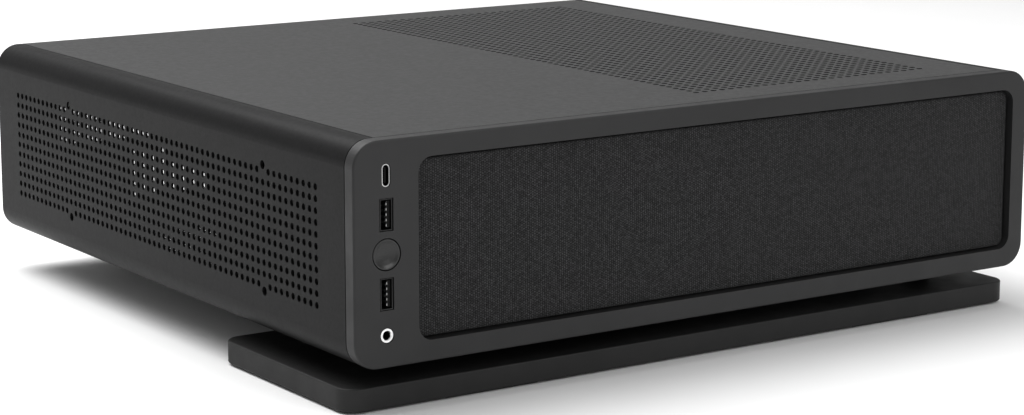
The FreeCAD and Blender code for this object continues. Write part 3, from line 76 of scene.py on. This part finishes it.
class Graph:
    """A material's node tree, with short calls for the nodes that the finishes share."""

    def __init__(self, name):
        self.material = bpy.data.materials.new(name)
        self.material.use_nodes = True
        self.tree = self.material.node_tree
        self.shader = self.tree.nodes["Principled BSDF"]
        place = self.tree.nodes.new("ShaderNodeTexCoord")
        self.place = place.outputs["Object"]

    def link(self, source, target):
        """Joins an output to an input, or sets the input where source is a plain value."""
        if isinstance(source, (int, float, tuple)):
            target.default_value = source
        else:
            self.tree.links.new(source, target)

    def math(self, operation, first, second=0.0, third=0.0):
        node = self.tree.nodes.new("ShaderNodeMath")
        node.operation = operation
        for value, socket in zip((first, second, third), node.inputs):
            self.link(value, socket)
        return node.outputs[0]

    def axes(self, source=None):
        """The x, y and z of a vector, or of the place on the object."""
        node = self.tree.nodes.new("ShaderNodeSeparateXYZ")
        self.link(source or self.place, node.inputs[0])
        return node.outputs

    def stretched(self, scale):
        node = self.tree.nodes.new("ShaderNodeMapping")
        self.link(self.place, node.inputs["Vector"])
        node.inputs["Scale"].default_value = scale
        return node.outputs[0]

    def noise(self, scale, detail=3.0, vector=None, roughness=0.5):
        node = self.tree.nodes.new("ShaderNodeTexNoise")
        self.link(vector or self.place, node.inputs["Vector"])
        node.inputs["Scale"].default_value = scale
        node.inputs["Detail"].default_value = detail
        node.inputs["Roughness"].default_value = roughness
        return node.outputs[0]

    def cells(self, scale, vector=None):
        node = self.tree.nodes.new("ShaderNodeTexVoronoi")
        self.link(vector or self.place, node.inputs["Vector"])
        node.inputs["Scale"].default_value = scale
        return node.outputs["Distance"]

    def spread(self, source, low, high, start=0.3, end=0.7):
        """Carries a texture's start..end on to low..high."""
        node = self.tree.nodes.new("ShaderNodeMapRange")
        node.clamp = True
        self.link(source, node.inputs["Value"])
        for name, value in (("From Min", start), ("From Max", end), ("To Min", low), ("To Max", high)):
            self.link(value, node.inputs[name])
        return node.outputs[0]

    def colours(self, factor, low, high):
        node = self.tree.nodes.new("ShaderNodeMix")
        node.data_type = "RGBA"
        self.link(factor, node.inputs[0])
        for value, socket in ((low, node.inputs[6]), (high, node.inputs[7])):
            self.link(value + (1.0,) if isinstance(value, tuple) else value, socket)
        return node.outputs[2]

    def bump(self, height, distance, strength=1.0, below=None):
        node = self.tree.nodes.new("ShaderNodeBump")
        node.inputs["Distance"].default_value = distance
        node.inputs["Strength"].default_value = strength
        self.link(height, node.inputs["Height"])
        if below is not None:
            self.link(below, node.inputs["Normal"])
        return node.outputs[0]

    def worn_edges(self, radius=0.0008):
        """1 on sharp outer edges and 0 on flat faces, broken up by noise."""
        bevel = self.tree.nodes.new("ShaderNodeBevel")
        bevel.samples = 4
        bevel.inputs["Radius"].default_value = radius
        plain = self.tree.nodes.new("ShaderNodeNewGeometry")
        across = self.tree.nodes.new("ShaderNodeVectorMath")
        across.operation = "DOT_PRODUCT"
        self.link(bevel.outputs[0], across.inputs[0])
        self.link(plain.outputs["Normal"], across.inputs[1])
        edge = self.spread(across.outputs["Value"], 1.0, 0.0, 0.75, 0.99)
        return self.math("MULTIPLY", edge, self.spread(self.noise(260.0), 0.2, 1.0))

    def done(self, colour, rough, normal=None, **uniform):
        self.link(colour, self.shader.inputs["Base Color"])
        self.link(rough, self.shader.inputs["Roughness"])
        if normal is not None:
            self.link(normal, self.shader.inputs["Normal"])
        for name, value in uniform.items():
            self.shader.inputs[name.replace("_", " ")].default_value = value
        return self.material


def grey(value, tint=1.0):
    return (value, value, value * tint)


def powder_coat(name, low, high, rough=0.46, grain=1500.0, depth=0.00004, specular=0.5):
    """Fine textured paint on steel: soft blotches, orange-peel grain, and lighter edges."""
    g = Graph(name)
    body = g.colours(g.spread(g.noise(700.0, 4.0), 0.0, 1.0), low, high)
    edge = g.math("MULTIPLY", g.worn_edges(), 0.35)
    bright = tuple(min(1.0, value * 2.0 + 0.01) for value in high)
    peel = g.noise(grain, 2.0)
    return g.done(g.colours(edge, body, bright), g.spread(g.noise(420.0, 3.0), rough - 0.03, rough + 0.03),
                  g.bump(peel, depth, 0.5), Specular_IOR_Level=specular)


def moulded_plastic(name, low, high, rough=0.55, grain=2600.0, depth=0.00003, specular=0.4):
    """Spark-textured moulding: fine pits, faint flow marks, and a rubbed sheen on its edges."""
    g = Graph(name)
    flow = g.noise(9.0, 3.0, g.stretched((1.0, 0.25, 1.0)))
    body = g.colours(g.spread(flow, 0.0, 1.0), low, high)
    bright = tuple(min(1.0, value * 1.7 + 0.006) for value in high)
    edge = g.math("MULTIPLY", g.worn_edges(0.0005), 0.3)
    pits = g.cells(grain)
    return g.done(g.colours(edge, body, bright), g.spread(g.noise(90.0, 3.0), rough - 0.06, rough + 0.06),
                  g.bump(pits, depth, 0.4), Specular_IOR_Level=specular)


def brushed_metal(name, low, high, along=(1.0, 0.03, 0.03), rough=0.3, metallic=1.0):
    """Metal with fine drawn lines along one axis and faint stains."""
    g = Graph(name)
    lines = g.noise(2200.0, 2.0, g.stretched(along))
    stain = g.spread(g.noise(35.0, 4.0), 0.0, 1.0)
    body = g.colours(stain, low, high)
    streaked = g.colours(g.spread(lines, 0.0, 0.35), body, tuple(value * 0.7 for value in low))
    return g.done(streaked, g.spread(lines, rough - 0.07, rough + 0.12),
                  g.bump(lines, 0.00002, 0.5), Metallic=metallic)


def solder_mask(name, low, high):
    """Circuit board lacquer: traces that run two ways under a thin gloss, with pads."""
    g = Graph(name)
    x, y, _ = g.axes()

    def tracks(axis, bend_scale):
        bend = g.math("MULTIPLY", g.noise(bend_scale, 1.0), 6.0)
        return g.math("PINGPONG", g.math("ADD", g.math("MULTIPLY", axis, 900.0), bend), 1.0)

    across = tracks(x, 70.0)
    down = tracks(y, 55.0)
    pick = g.math("GREATER_THAN", g.noise(45.0, 0.0), 0.5)
    traces = g.math("ADD", g.math("MULTIPLY", across, pick),
                    g.math("MULTIPLY", down, g.math("SUBTRACT", 1.0, pick)))
    lines = g.math("GREATER_THAN", traces, 0.6)
    pads = g.math("LESS_THAN", g.cells(300.0), 0.13)
    body = g.colours(lines, low, high)
    coloured = g.colours(pads, body, (0.42, 0.4, 0.36))
    return g.done(coloured, g.spread(g.noise(120.0), 0.28, 0.42), g.bump(lines, 0.00003, 0.5))


def rubber(name, low, high):
    """Matt rubber with fine ribs and dust in its grain."""
    g = Graph(name)
    ribs = g.math("PINGPONG", g.math("MULTIPLY", g.axes()[0], 1400.0), 1.0)
    dust = g.spread(g.noise(420.0, 4.0), 0.0, 1.0, 0.45, 0.75)
    return g.done(g.colours(dust, low, high), g.spread(g.noise(200.0), 0.78, 0.92),
                  g.bump(ribs, 0.00008, 0.6), Specular_IOR_Level=0.3)


def braid(name, low, high, pitch=0.0018):
    """Woven cable sleeve: two sets of slanting threads, darker in the grooves between them as painted shade.
    """
    g = Graph(name)
    x, y, z = g.axes()
    total = g.math("ADD", g.math("ADD", x, y), z)
    other = g.math("SUBTRACT", g.math("SUBTRACT", x, y), z)
    one = g.math("PINGPONG", g.math("DIVIDE", total, pitch), 0.5)
    two = g.math("PINGPONG", g.math("DIVIDE", other, pitch), 0.5)
    height = g.math("MAXIMUM", one, two)
    # Painted shade: the colour follows the thread height, darker in the grooves.
    return g.done(g.colours(g.math("MULTIPLY", height, 2.0), low, high), g.spread(g.noise(300.0), 0.6, 0.8),
                  g.bump(height, 0.0003, 0.7), Sheen_Weight=0.15)


def woven_cloth(name, low, high, pitch=0.0011):
    """Plain acoustic weave: warp over weft in turn, with uneven threads, and colour that follows the thread
    height as painted shade in the gaps and dips between threads.
    """
    g = Graph(name)
    x, _, z = g.axes()
    wander = g.math("MULTIPLY", g.math("SUBTRACT", g.noise(70.0, 2.0), 0.5), 0.35)
    across = g.math("ADD", g.math("DIVIDE", x, pitch), wander)
    shift = g.math("MULTIPLY", g.math("FLOOR", across), 0.5)
    up = g.math("ADD", g.math("ADD", g.math("DIVIDE", z, pitch), wander), shift)
    warp = g.math("SINE", g.math("MULTIPLY", g.math("FRACT", across), math.pi))
    weft = g.math("SINE", g.math("MULTIPLY", g.math("FRACT", up), math.pi))
    turn = g.math("MODULO", g.math("ADD", g.math("FLOOR", across), g.math("FLOOR", up)), 2.0)
    over = g.math("ABSOLUTE", turn)
    warp_top = g.math("MULTIPLY", warp, g.math("ADD", 0.45, g.math("MULTIPLY", weft, 0.55)))
    weft_top = g.math("MULTIPLY", weft, g.math("ADD", 0.45, g.math("MULTIPLY", warp, 0.55)))
    height = g.math("ADD", g.math("MULTIPLY", warp_top, over),
                    g.math("MULTIPLY", weft_top, g.math("SUBTRACT", 1.0, over)))
    slub = g.noise(120.0, 3.0, g.stretched((8.0, 1.0, 0.25)))
    cell = g.tree.nodes.new("ShaderNodeCombineXYZ")
    g.link(g.math("FLOOR", across), cell.inputs[0])
    g.link(g.math("FLOOR", up), cell.inputs[2])
    knot = g.tree.nodes.new("ShaderNodeTexWhiteNoise")
    g.link(cell.outputs[0], knot.inputs["Vector"])
    streak = g.math("MULTIPLY", g.spread(slub, 0.62, 1.0), g.spread(knot.outputs[0], 0.45, 1.0, 0.0, 1.0))
    fibre = g.spread(g.noise(3200.0, 2.0), 0.75, 1.0)
    # Painted shade: the weave height darkens the dips between threads; slub, knots and fibre are the threads'
    # own tone.
    painted_shade_and_slub = g.math("MULTIPLY", g.math("MULTIPLY", height, streak), fibre)
    colour = g.colours(g.spread(painted_shade_and_slub, 0.0, 1.0, 0.05, 0.75), low, high)
    return g.done(colour, g.spread(slub, 0.75, 0.95), g.bump(height, 0.00022, 0.8),
                  Sheen_Weight=0.06, Sheen_Roughness=0.5, Specular_IOR_Level=0.2)


def studio_floor(name):
    """Pale paper sweep with a faint tooth."""
    g = Graph(name)
    body = g.colours(g.spread(g.noise(3.0, 3.0), 0.0, 1.0), grey(0.86), grey(0.9))
    return g.done(body, g.spread(g.noise(40.0), 0.7, 0.85), g.bump(g.noise(1800.0), 0.00005, 0.3),
                  Specular_IOR_Level=0.15)


M = {
    # One powder coat in two copies: the side shells get a darker, less shiny copy as painted shade, and the
    # top panel a lighter, shinier copy as painted light from above.
    "shell": powder_coat("shell_coat", grey(0.008, 1.02), grey(0.012, 1.02), 0.42, specular=0.06),
    "top": powder_coat("top_coat_painted_light", grey(0.010, 1.02), grey(0.014, 1.02), 0.40, specular=0.36),
    "bezel": moulded_plastic("bezel_plastic", grey(0.015, 1.02), grey(0.020, 1.02), 0.5, specular=0.3),
    "chassis": powder_coat("chassis_paint", grey(0.008), grey(0.012), 0.55),
    "stand": moulded_plastic("stand_plastic", grey(0.011), grey(0.015), 0.6, specular=0.3),
    "cloth": woven_cloth("cloth_weave", grey(0.001), grey(0.05, 1.03)),
    "plastic": moulded_plastic("black_plastic", grey(0.010), grey(0.014), 0.5),
    "button": moulded_plastic("button_plastic", grey(0.011), grey(0.014), 0.34, specular=0.4),
    "fan": moulded_plastic("fan_plastic", grey(0.011), grey(0.016), 0.45),
    "blade": moulded_plastic("blade_plastic", grey(0.016), grey(0.024), 0.38),
    "board": solder_mask("board_mask", (0.008, 0.012, 0.010), (0.014, 0.022, 0.018)),
    "port": brushed_metal("port_plating", grey(0.5), grey(0.62), rough=0.25),
    "fin": brushed_metal("fin_aluminium", grey(0.62), grey(0.74), along=(0.05, 1.0, 0.05), rough=0.3),
    "steel": brushed_metal("bare_steel", grey(0.42), grey(0.54), rough=0.32),
    "dark_steel": brushed_metal("blackened_steel", grey(0.03), grey(0.06), rough=0.38),
    "brass": brushed_metal("turned_brass", (0.62, 0.44, 0.2), (0.75, 0.56, 0.28), rough=0.28),
    "gold": brushed_metal("contact_gold", (0.75, 0.52, 0.2), (0.86, 0.64, 0.3), rough=0.22),
    "rubber": rubber("pad_rubber", grey(0.012), grey(0.03)),
    "sleeve": braid("cable_sleeve", grey(0.006), grey(0.022)),
    "drive": brushed_metal("drive_case", grey(0.18, 1.05), grey(0.26, 1.05), rough=0.4),
    # Near-black: black plastic for socket tongues and inserts, and painted shade on the inner walls of
    # sockets and hollows.
    "dark_insert_and_hollow_shade": moulded_plastic("black_insert_and_painted_shade", grey(0.002), grey(0.004), 0.5, specular=0.1),
    "port_blue": moulded_plastic("port_blue", (0.01, 0.05, 0.2), (0.015, 0.07, 0.26), 0.4),
    "jack_green": moulded_plastic("jack_green", (0.03, 0.12, 0.03), (0.04, 0.16, 0.04), 0.45),
    "jack_pink": moulded_plastic("jack_pink", (0.22, 0.05, 0.08), (0.28, 0.07, 0.1), 0.45),
    "jack_pale_blue": moulded_plastic("jack_pale_blue", (0.04, 0.1, 0.2), (0.05, 0.13, 0.25), 0.45),
    "jack_rim": brushed_metal("jack_rim", grey(0.8), grey(0.9), rough=0.3),
    # Near-black painted shadow for the lips under the seams and the bezel's inner faces.
    "painted_shadow": moulded_plastic("shadow_gap", grey(0.001), grey(0.003), 0.8, specular=0.05),
    "lamp": moulded_plastic("lamp_window", (0.25, 0.3, 0.06), (0.32, 0.38, 0.08), 0.3),
    "label": brushed_metal("hub_label", grey(0.05), grey(0.09), rough=0.36),
    "floor": studio_floor("studio_floor"),
}

NODE_FINISH = {
    "shell": "left_shell right_shell",
    "top": "top_panel",
    "bezel": "front_bezel",
    "chassis": "bottom_panel front_wall rear_wall mid_wall cross_beam board_tray fan_rails drive_bracket "
               "psu_case graphics_backplate",
    "stand": "stand_plate rear_feet",
    "cloth": "front_fabric",
    "button": "power_button",
    "plastic": "fabric_carrier board_sockets riser_card rear_inlet psu_inlet psu_rocker graphics_shroud "
               "lead_plug",
    "fan": "case_fan_frame_front case_fan_frame_rear cpu_fan_frame",
    "blade": "case_fan_rotor_front case_fan_rotor_rear cpu_fan_rotor graphics_fan_rotor_front "
             "graphics_fan_rotor_rear psu_fan_rotor",
    "board": "motherboard graphics_board front_port_board psu_board memory_modules m2_drive",
    "port": "usb_c_port usb_a_port_upper usb_a_port_lower rear_ports",
    "jack_rim": "audio_jack",
    "fin": "cpu_heatsink regulator_heatsink graphics_heatsink",
    "steel": "io_shield graphics_bracket",
    "dark_steel": "rear_thumbscrews stand_fixings",
    "brass": "board_fixings",
    "rubber": "rubber_pads",
    "sleeve": "board_power_cable card_power_cable front_port_cable inlet_lead",
    "drive": "drive",
}

for finish, names in NODE_FINISH.items():
    for name in names.split():
        slots = nodes[name].data.materials
        slots.clear()
        slots.append(M[finish])


def paint(node, finish, chosen):
    """Gives a CAD node's faces another finish where chosen(centre, normal) holds, lengths in mm."""
    mesh = nodes[node].data
    mesh.materials.append(M[finish])
    index = len(mesh.materials) - 1
    for face in mesh.polygons:
        centre = face.center / MM
        if chosen(centre, face.normal):
            face.material_index = index


# ---------------------------------------------------------------- finishes of inner faces

# Places in mm. The front is at the low end of y, and the rear at the high end.
PORT_X = -171.4
USB_A_LEVELS = (84.5, 51.5)
FRONT_RIM_Y = -177.0
TONGUE_TIP_Y = -176.0
JACK_RIM_Y = -176.55
REAR_RIM_Y = 174.2
BRACKET_RIM_Y = 173.0
NETWORK_X = -85.0
AUDIO_LEVEL = 96.5
AUDIO_COLLAR = 4.1


def paint_front_ports():
    """Near-black inside the front sockets: painted shade on their inner walls, and black on the USB-A
    tongues. Steel on the USB-A contacts, blackened steel on the USB-A rims, and bright metal left on the
    USB-C and jack rims.
    """
    for node in ("usb_a_port_upper", "usb_a_port_lower"):
        paint(node, "dark_insert_and_hollow_shade", lambda c, n: True)
        paint(node, "dark_steel", lambda c, n: c.y < FRONT_RIM_Y)
        paint(node, "steel", lambda c, n: 0.1 < c.x - PORT_X < 0.39 and c.y > TONGUE_TIP_Y)
    paint("usb_c_port", "dark_insert_and_hollow_shade", lambda c, n: c.y > FRONT_RIM_Y)
    paint("audio_jack", "dark_insert_and_hollow_shade", lambda c, n: c.y > JACK_RIM_Y)


def paint_rear_ports():
    """Near-black behind the rear rims: painted shade on the shells' inner walls, and black on the tongues and
    inserts. Blue tongues, the three coloured audio jacks, and painted shade on the graphics bracket behind
    its rim.
    """
    paint("rear_ports", "dark_insert_and_hollow_shade", lambda c, n: c.y < REAR_RIM_Y)
    paint("rear_ports", "port_blue", lambda c, n: c.x < -100 and c.z > 96 and c.y < REAR_RIM_Y)
    paint("rear_ports", "dark_insert_and_hollow_shade", lambda c, n: abs(c.x - NETWORK_X) < 9)
    for left, finish in ((-50, "jack_pale_blue"), (-38, "jack_green"), (-26, "jack_pink")):
        middle = left + 5.8
        paint("rear_ports", "dark_insert_and_hollow_shade", lambda c, n, x=middle: abs(c.x - x) < 5.9)
        paint("rear_ports", finish, lambda c, n, x=middle:
              math.hypot(c.x - x, c.z - AUDIO_LEVEL) < AUDIO_COLLAR and c.y > 170)
    # Painted shade: the bracket's steel behind its rim is made near-black.
    paint("graphics_bracket", "dark_insert_and_hollow_shade", lambda c, n: c.y < BRACKET_RIM_Y)


def paint_seams():
    """Painted shadow: the lips that lie under the seams, and the bezel's rear-facing faces, are made
    near-black.
    """
    for node in ("left_shell", "right_shell"):
        paint(node, "painted_shadow", lambda c, n: n.z > 0.9 and c.z < 114.4 and abs(c.x) < 174.5)
    paint("front_bezel", "painted_shadow", lambda c, n: n.y > 0.5)


paint_front_ports()
paint_rear_ports()
paint_seams()
paint("stand_fixings", "stand", lambda c, n: c.z > 11.0)


# ---------------------------------------------------------------- mesh helpers

def add_piece(name, mesh_data, finish, body, smooth=True, sharp=35.0):
    """Links a finished mesh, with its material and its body."""
    mesh_data.materials.append(M[finish])
    piece = bpy.data.objects.new(name, mesh_data)
    scene.collection.objects.link(piece)
    for face in mesh_data.polygons:
        face.use_smooth = smooth
    if smooth:
        mesh_data.set_sharp_from_angle(angle=math.radians(sharp))
    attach(piece, body)
    return piece


def mesh_from(name, build):
    """Runs build(bm) on an empty bmesh and returns the mesh."""
    bm = bmesh.new()
    build(bm)
    bmesh.ops.recalc_face_normals(bm, faces=bm.faces)
    data = bpy.data.meshes.new(name)
    bm.to_mesh(data)
    bm.free()
    return data


def islands(node):
    """The lowest and highest corners of each separate solid in a CAD node."""
    bm = bmesh.new()
    bm.from_mesh(nodes[node].data)
    bmesh.ops.remove_doubles(bm, verts=bm.verts, dist=1e-6)
    left = set(bm.verts)
    found = []
    while left:
        stack = [left.pop()]
        group = list(stack)
        while stack:
            for edge in stack.pop().link_edges:
                for vert in edge.verts:
                    if vert in left:
                        left.remove(vert)
                        stack.append(vert)
                        group.append(vert)
        corners = [[pick(vert.co[axis] for vert in group) for axis in range(3)] for pick in (min, max)]
        found.append((Vector(corners[0]), Vector(corners[1])))
    bm.free()
    return found


def loft(bm, rings, close_first=True, close_last=True):
    """Skins closed rings of points, in order."""
    rows = [[bm.verts.new(point) for point in ring] for ring in rings]
    for one, two in zip(rows, rows[1:]):
        for index in range(len(one)):
            after = (index + 1) % len(one)
            bm.faces.new((one[index], one[after], two[after], two[index]))
    if close_first:
        bm.faces.new(rows[0])
    if close_last:
        bm.faces.new(rows[-1])


def rounded_outline(low_x, high_x, low_z, high_z, radius, step=0.004, arc=7):
    """Points round a rectangle with rounded corners, as (x, z)."""
    points = []
    corners = ((high_x - radius, high_z - radius, 0), (low_x + radius, high_z - radius, 90),
               (low_x + radius, low_z + radius, 180), (high_x - radius, low_z + radius, 270))
    for x, z, start in corners:
        for index in range(arc):
            angle = math.radians(start + 90 * index / (arc - 1))
            points.append((x + radius * math.cos(angle), z + radius * math.sin(angle)))
    outline = []
    for (x0, z0), (x1, z1) in zip(points, points[1:] + points[:1]):
        parts = max(1, int(math.hypot(x1 - x0, z1 - z0) / step))
        outline += [(x0 + (x1 - x0) * part / parts, z0 + (z1 - z0) * part / parts) for part in range(parts)]
    return outline


# ---------------------------------------------------------------- cloth on the insert

CLOTH_CORNER = 0.0035
CLOTH_ROLL = 0.0008
CLOTH_TURN = 0.0012


def stretched_cloth():
    """The cloth: flat across the carrier, rolled over its edge and turned back along it."""
    low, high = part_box("front_fabric")
    front = low.y
    profile = [(0.0, front + CLOTH_ROLL + CLOTH_TURN)]
    for index in range(6):
        angle = math.radians(90 * index / 5)
        profile.append((CLOTH_ROLL * (1 - math.cos(angle)), front + CLOTH_ROLL * (1 - math.sin(angle))))
    rings = []
    for inset, y in profile:
        outline = rounded_outline(low.x + inset, high.x - inset, low.z + inset, high.z - inset,
                                  max(0.0006, CLOTH_CORNER - inset))
        rings.append([(x, y, z) for x, z in outline])
    count = min(len(ring) for ring in rings)
    rings = [[ring[int(index * len(ring) / count)] for index in range(count)] for ring in rings]
    data = mesh_from("front_cloth", lambda bm: loft(bm, rings, close_first=False))
    cloth = add_piece("front_cloth", data, "cloth", "insert", sharp=80.0)
    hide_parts("front_fabric")


stretched_cloth()


# ---------------------------------------------------------------- small front parts

def bar(bm, low, high, edge):
    """A block from low to high, in mm, with softened edges."""
    centre = [(a + b) / 2 * MM for a, b in zip(low, high)]
    half = [(b - a) / 2 * MM for a, b in zip(low, high)]
    made = bmesh.ops.create_cube(bm, size=2.0)
    for vert in made["verts"]:
        vert.co = Vector([c + h * v for c, h, v in zip(centre, half, vert.co)])
    edges = {e for vert in made["verts"] for e in vert.link_edges}
    bmesh.ops.bevel(bm, geom=list(edges), offset=edge * MM, segments=2, affect="EDGES", profile=0.6)


def usb_springs():
    """Contact tips along each USB-A tongue, and the shell's springs on the wall across from them."""
    for name, level in zip(("upper", "lower"), USB_A_LEVELS):

        def contacts(bm, level=level):
            for step in range(-2, 3):
                middle = level + step * 2.2
                bar(bm, (PORT_X + 0.05, -176.9, middle - 0.5), (PORT_X + 0.38, -176.0, middle + 0.5), 0.08)

        def springs(bm, level=level):
            for step in range(-2, 2):
                middle = level + 1.3 + step * 2.4
                bar(bm, (PORT_X - 2.48, -176.8, middle - 0.55), (PORT_X - 2.25, -175.4, middle + 0.55), 0.06)

        add_piece(f"usb_contacts_{name}", mesh_from("contacts", contacts), "steel", "case")
        add_piece(f"usb_springs_{name}", mesh_from("springs", springs), "dark_steel", "case")


usb_springs()


# ---------------------------------------------------------------- screws

def screw_head(bm, centre, radius, height, outward, teeth=28):
    """A knurled head with a chamfered rim and a cross recess, on the axis outward (a unit vector)."""
    turn = outward.to_track_quat("Z", "Y").to_matrix()

    def ring(size, rise, knurl=0.0):
        points = []
        for index in range(teeth * 4):
            angle = 2 * math.pi * index / (teeth * 4)
            reach = size - (knurl if index % 4 in (2, 3) else 0.0)
            points.append(centre + turn @ Vector((reach * math.cos(angle), reach * math.sin(angle), rise)))
        return points

    def cross(rise, arm, half):
        """Points round a plus shape, as many as the rings have."""
        corners = [(arm, half), (half, half), (half, arm), (-half, arm), (-half, half), (-arm, half),
                   (-arm, -half), (-half, -half), (-half, -arm), (half, -arm), (half, -half), (arm, -half)]
        corners = corners[-1:] + corners[:-1]
        total = teeth * 4
        points = []
        for index in range(total):
            where = index * len(corners) / total
            start, share = int(where), where - int(where)
            x0, y0 = corners[start]
            x1, y1 = corners[(start + 1) % len(corners)]
            points.append(centre + turn @ Vector((x0 + (x1 - x0) * share, y0 + (y1 - y0) * share, rise)))
        return points

    depth = radius * 0.07
    loft(bm, [ring(radius, 0.0), ring(radius, height * 0.12), ring(radius, height * 0.2, depth),
              ring(radius, height * 0.8, depth), ring(radius * 0.93, height), ring(radius * 0.6, height),
              cross(height, radius * 0.5, radius * 0.13), cross(height * 0.45, radius * 0.42, radius * 0.09)])


def rear_screws():
    """The rear thumbscrews, knurled and cross-headed, in place of their plain heads."""
    def build(bm):
        for low, high in islands("rear_thumbscrews"):
            centre = Vector(((low.x + high.x) / 2, low.y, (low.z + high.z) / 2))
            screw_head(bm, centre, (high.x - low.x) / 2, high.y - low.y, Vector((0, 1, 0)))

    screws = add_piece("rear_screw_heads", mesh_from("rear_screw_heads", build), "dark_steel", "case",
                       sharp=30.0)
    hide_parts("rear_thumbscrews")


rear_screws()


# ---------------------------------------------------------------- fan hubs

def lathe(bm, centre, profile, sides=64):
    """Turns (radius, rise) points about the +Z axis through centre."""
    angles = [2 * math.pi * k / sides for k in range(sides)]
    rings = [[centre + Vector((radius * math.cos(angle), radius * math.sin(angle), rise)) for angle in angles]
             for radius, rise in profile]
    loft(bm, rings)


def hub_labels():
    """A ringed foil disc on the top of each rotor's hub that faces up."""
    for node, body, radius in (("case_fan_rotor_front", "case_fan_front_spinner", 0.0175),
                               ("case_fan_rotor_rear", "case_fan_rear_spinner", 0.0175),
                               ("graphics_fan_rotor_front", "graphics_fan_front_spinner", 0.0150),
                               ("graphics_fan_rotor_rear", "graphics_fan_rear_spinner", 0.0150)):
        _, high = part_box(node)
        place = [joint for joint in frame["joints"] if joint["child"] == body][0]["pos_m"]
        centre = Vector((place[0], place[1], high.z))
        profile = [(radius, 0.0), (radius, 0.0001), (radius * 0.97, 0.00022), (radius * 0.80, 0.00022),
                   (radius * 0.78, 0.00010), (radius * 0.74, 0.00010), (radius * 0.72, 0.00022),
                   (radius * 0.30, 0.00022), (radius * 0.28, 0.00010), (radius * 0.05, 0.00010)]
        data = mesh_from(node + "_label", lambda bm, c=centre, p=profile: lathe(bm, c, p))
        add_piece(node + "_label", data, "label", body)


hub_labels()


# ---------------------------------------------------------------- rear sockets

def network_socket():
    """The eight contact wires in the network socket, and its two lamp windows."""
    def wires(bm):
        for index in range(8):
            x = NETWORK_X + (index - 3.5) * 1.02
            bar(bm, (x - 0.2, 163.0, 97.4), (x + 0.2, 173.0, 97.8), 0.08)

    def lamps(bm):
        for x in (NETWORK_X - 5.9, NETWORK_X + 5.9):
            bar(bm, (x - 1.1, 174.45, 100.0), (x + 1.1, 174.6, 101.2), 0.05)

    add_piece("network_contacts", mesh_from("network_contacts", wires), "gold", "case")
    add_piece("network_lamps", mesh_from("network_lamps", lamps), "lamp", "case")


network_socket()


# ---------------------------------------------------------------- floor and light

def studio():
    """A pale sweep, a large soft light above and behind, and a weaker one in front."""
    def sweep(bm):
        """A flat floor that curves up behind the object."""
        profile = [(-4.0, 0.0), (3.2, 0.0)]
        profile += [(3.2 + 0.8 * math.sin(math.radians(a)), 0.8 - 0.8 * math.cos(math.radians(a)))
                    for a in range(10, 91, 10)]
        profile.append((4.0, 4.0))
        rows = [[bm.verts.new((x, y, z)) for y, z in profile] for x in (-6.0, 8.0)]
        for index in range(len(profile) - 1):
            bm.faces.new((rows[0][index], rows[1][index], rows[1][index + 1], rows[0][index + 1]))

    data = mesh_from("studio_sweep", sweep)
    data.materials.append(M["floor"])
    for face in data.polygons:
        face.use_smooth = True
    floor = bpy.data.objects.new("studio_sweep", data)
    scene.collection.objects.link(floor)

    world = bpy.data.worlds.new("studio")
    world.use_nodes = True
    background = world.node_tree.nodes["Background"]
    background.inputs["Color"].default_value = (1.0, 1.0, 1.0, 1.0)
    background.inputs["Strength"].default_value = WORLD_STRENGTH
    scene.world = world

    lamps = (("top_softbox", (-0.35, 0.55, 1.5), (0.0, 0.05, 0.08), 1.6, 1.6, 44.0),
             ("front_softbox", (0.6, -2.0, 1.1), (0.05, -0.1, 0.06), 1.4, 0.9, 16.0))
    for name, place, target, wide, tall, power in lamps:
        lamp = bpy.data.lights.new(name, "AREA")
        lamp.shape = "RECTANGLE"
        lamp.size = wide
        lamp.size_y = tall
        lamp.energy = power
        light = bpy.data.objects.new(name, lamp)
        light.location = place
        light.rotation_euler = (Vector(target) - Vector(place)).to_track_quat("-Z", "Y").to_euler()
        scene.collection.objects.link(light)


studio()
scene.view_settings.view_transform = "Standard"
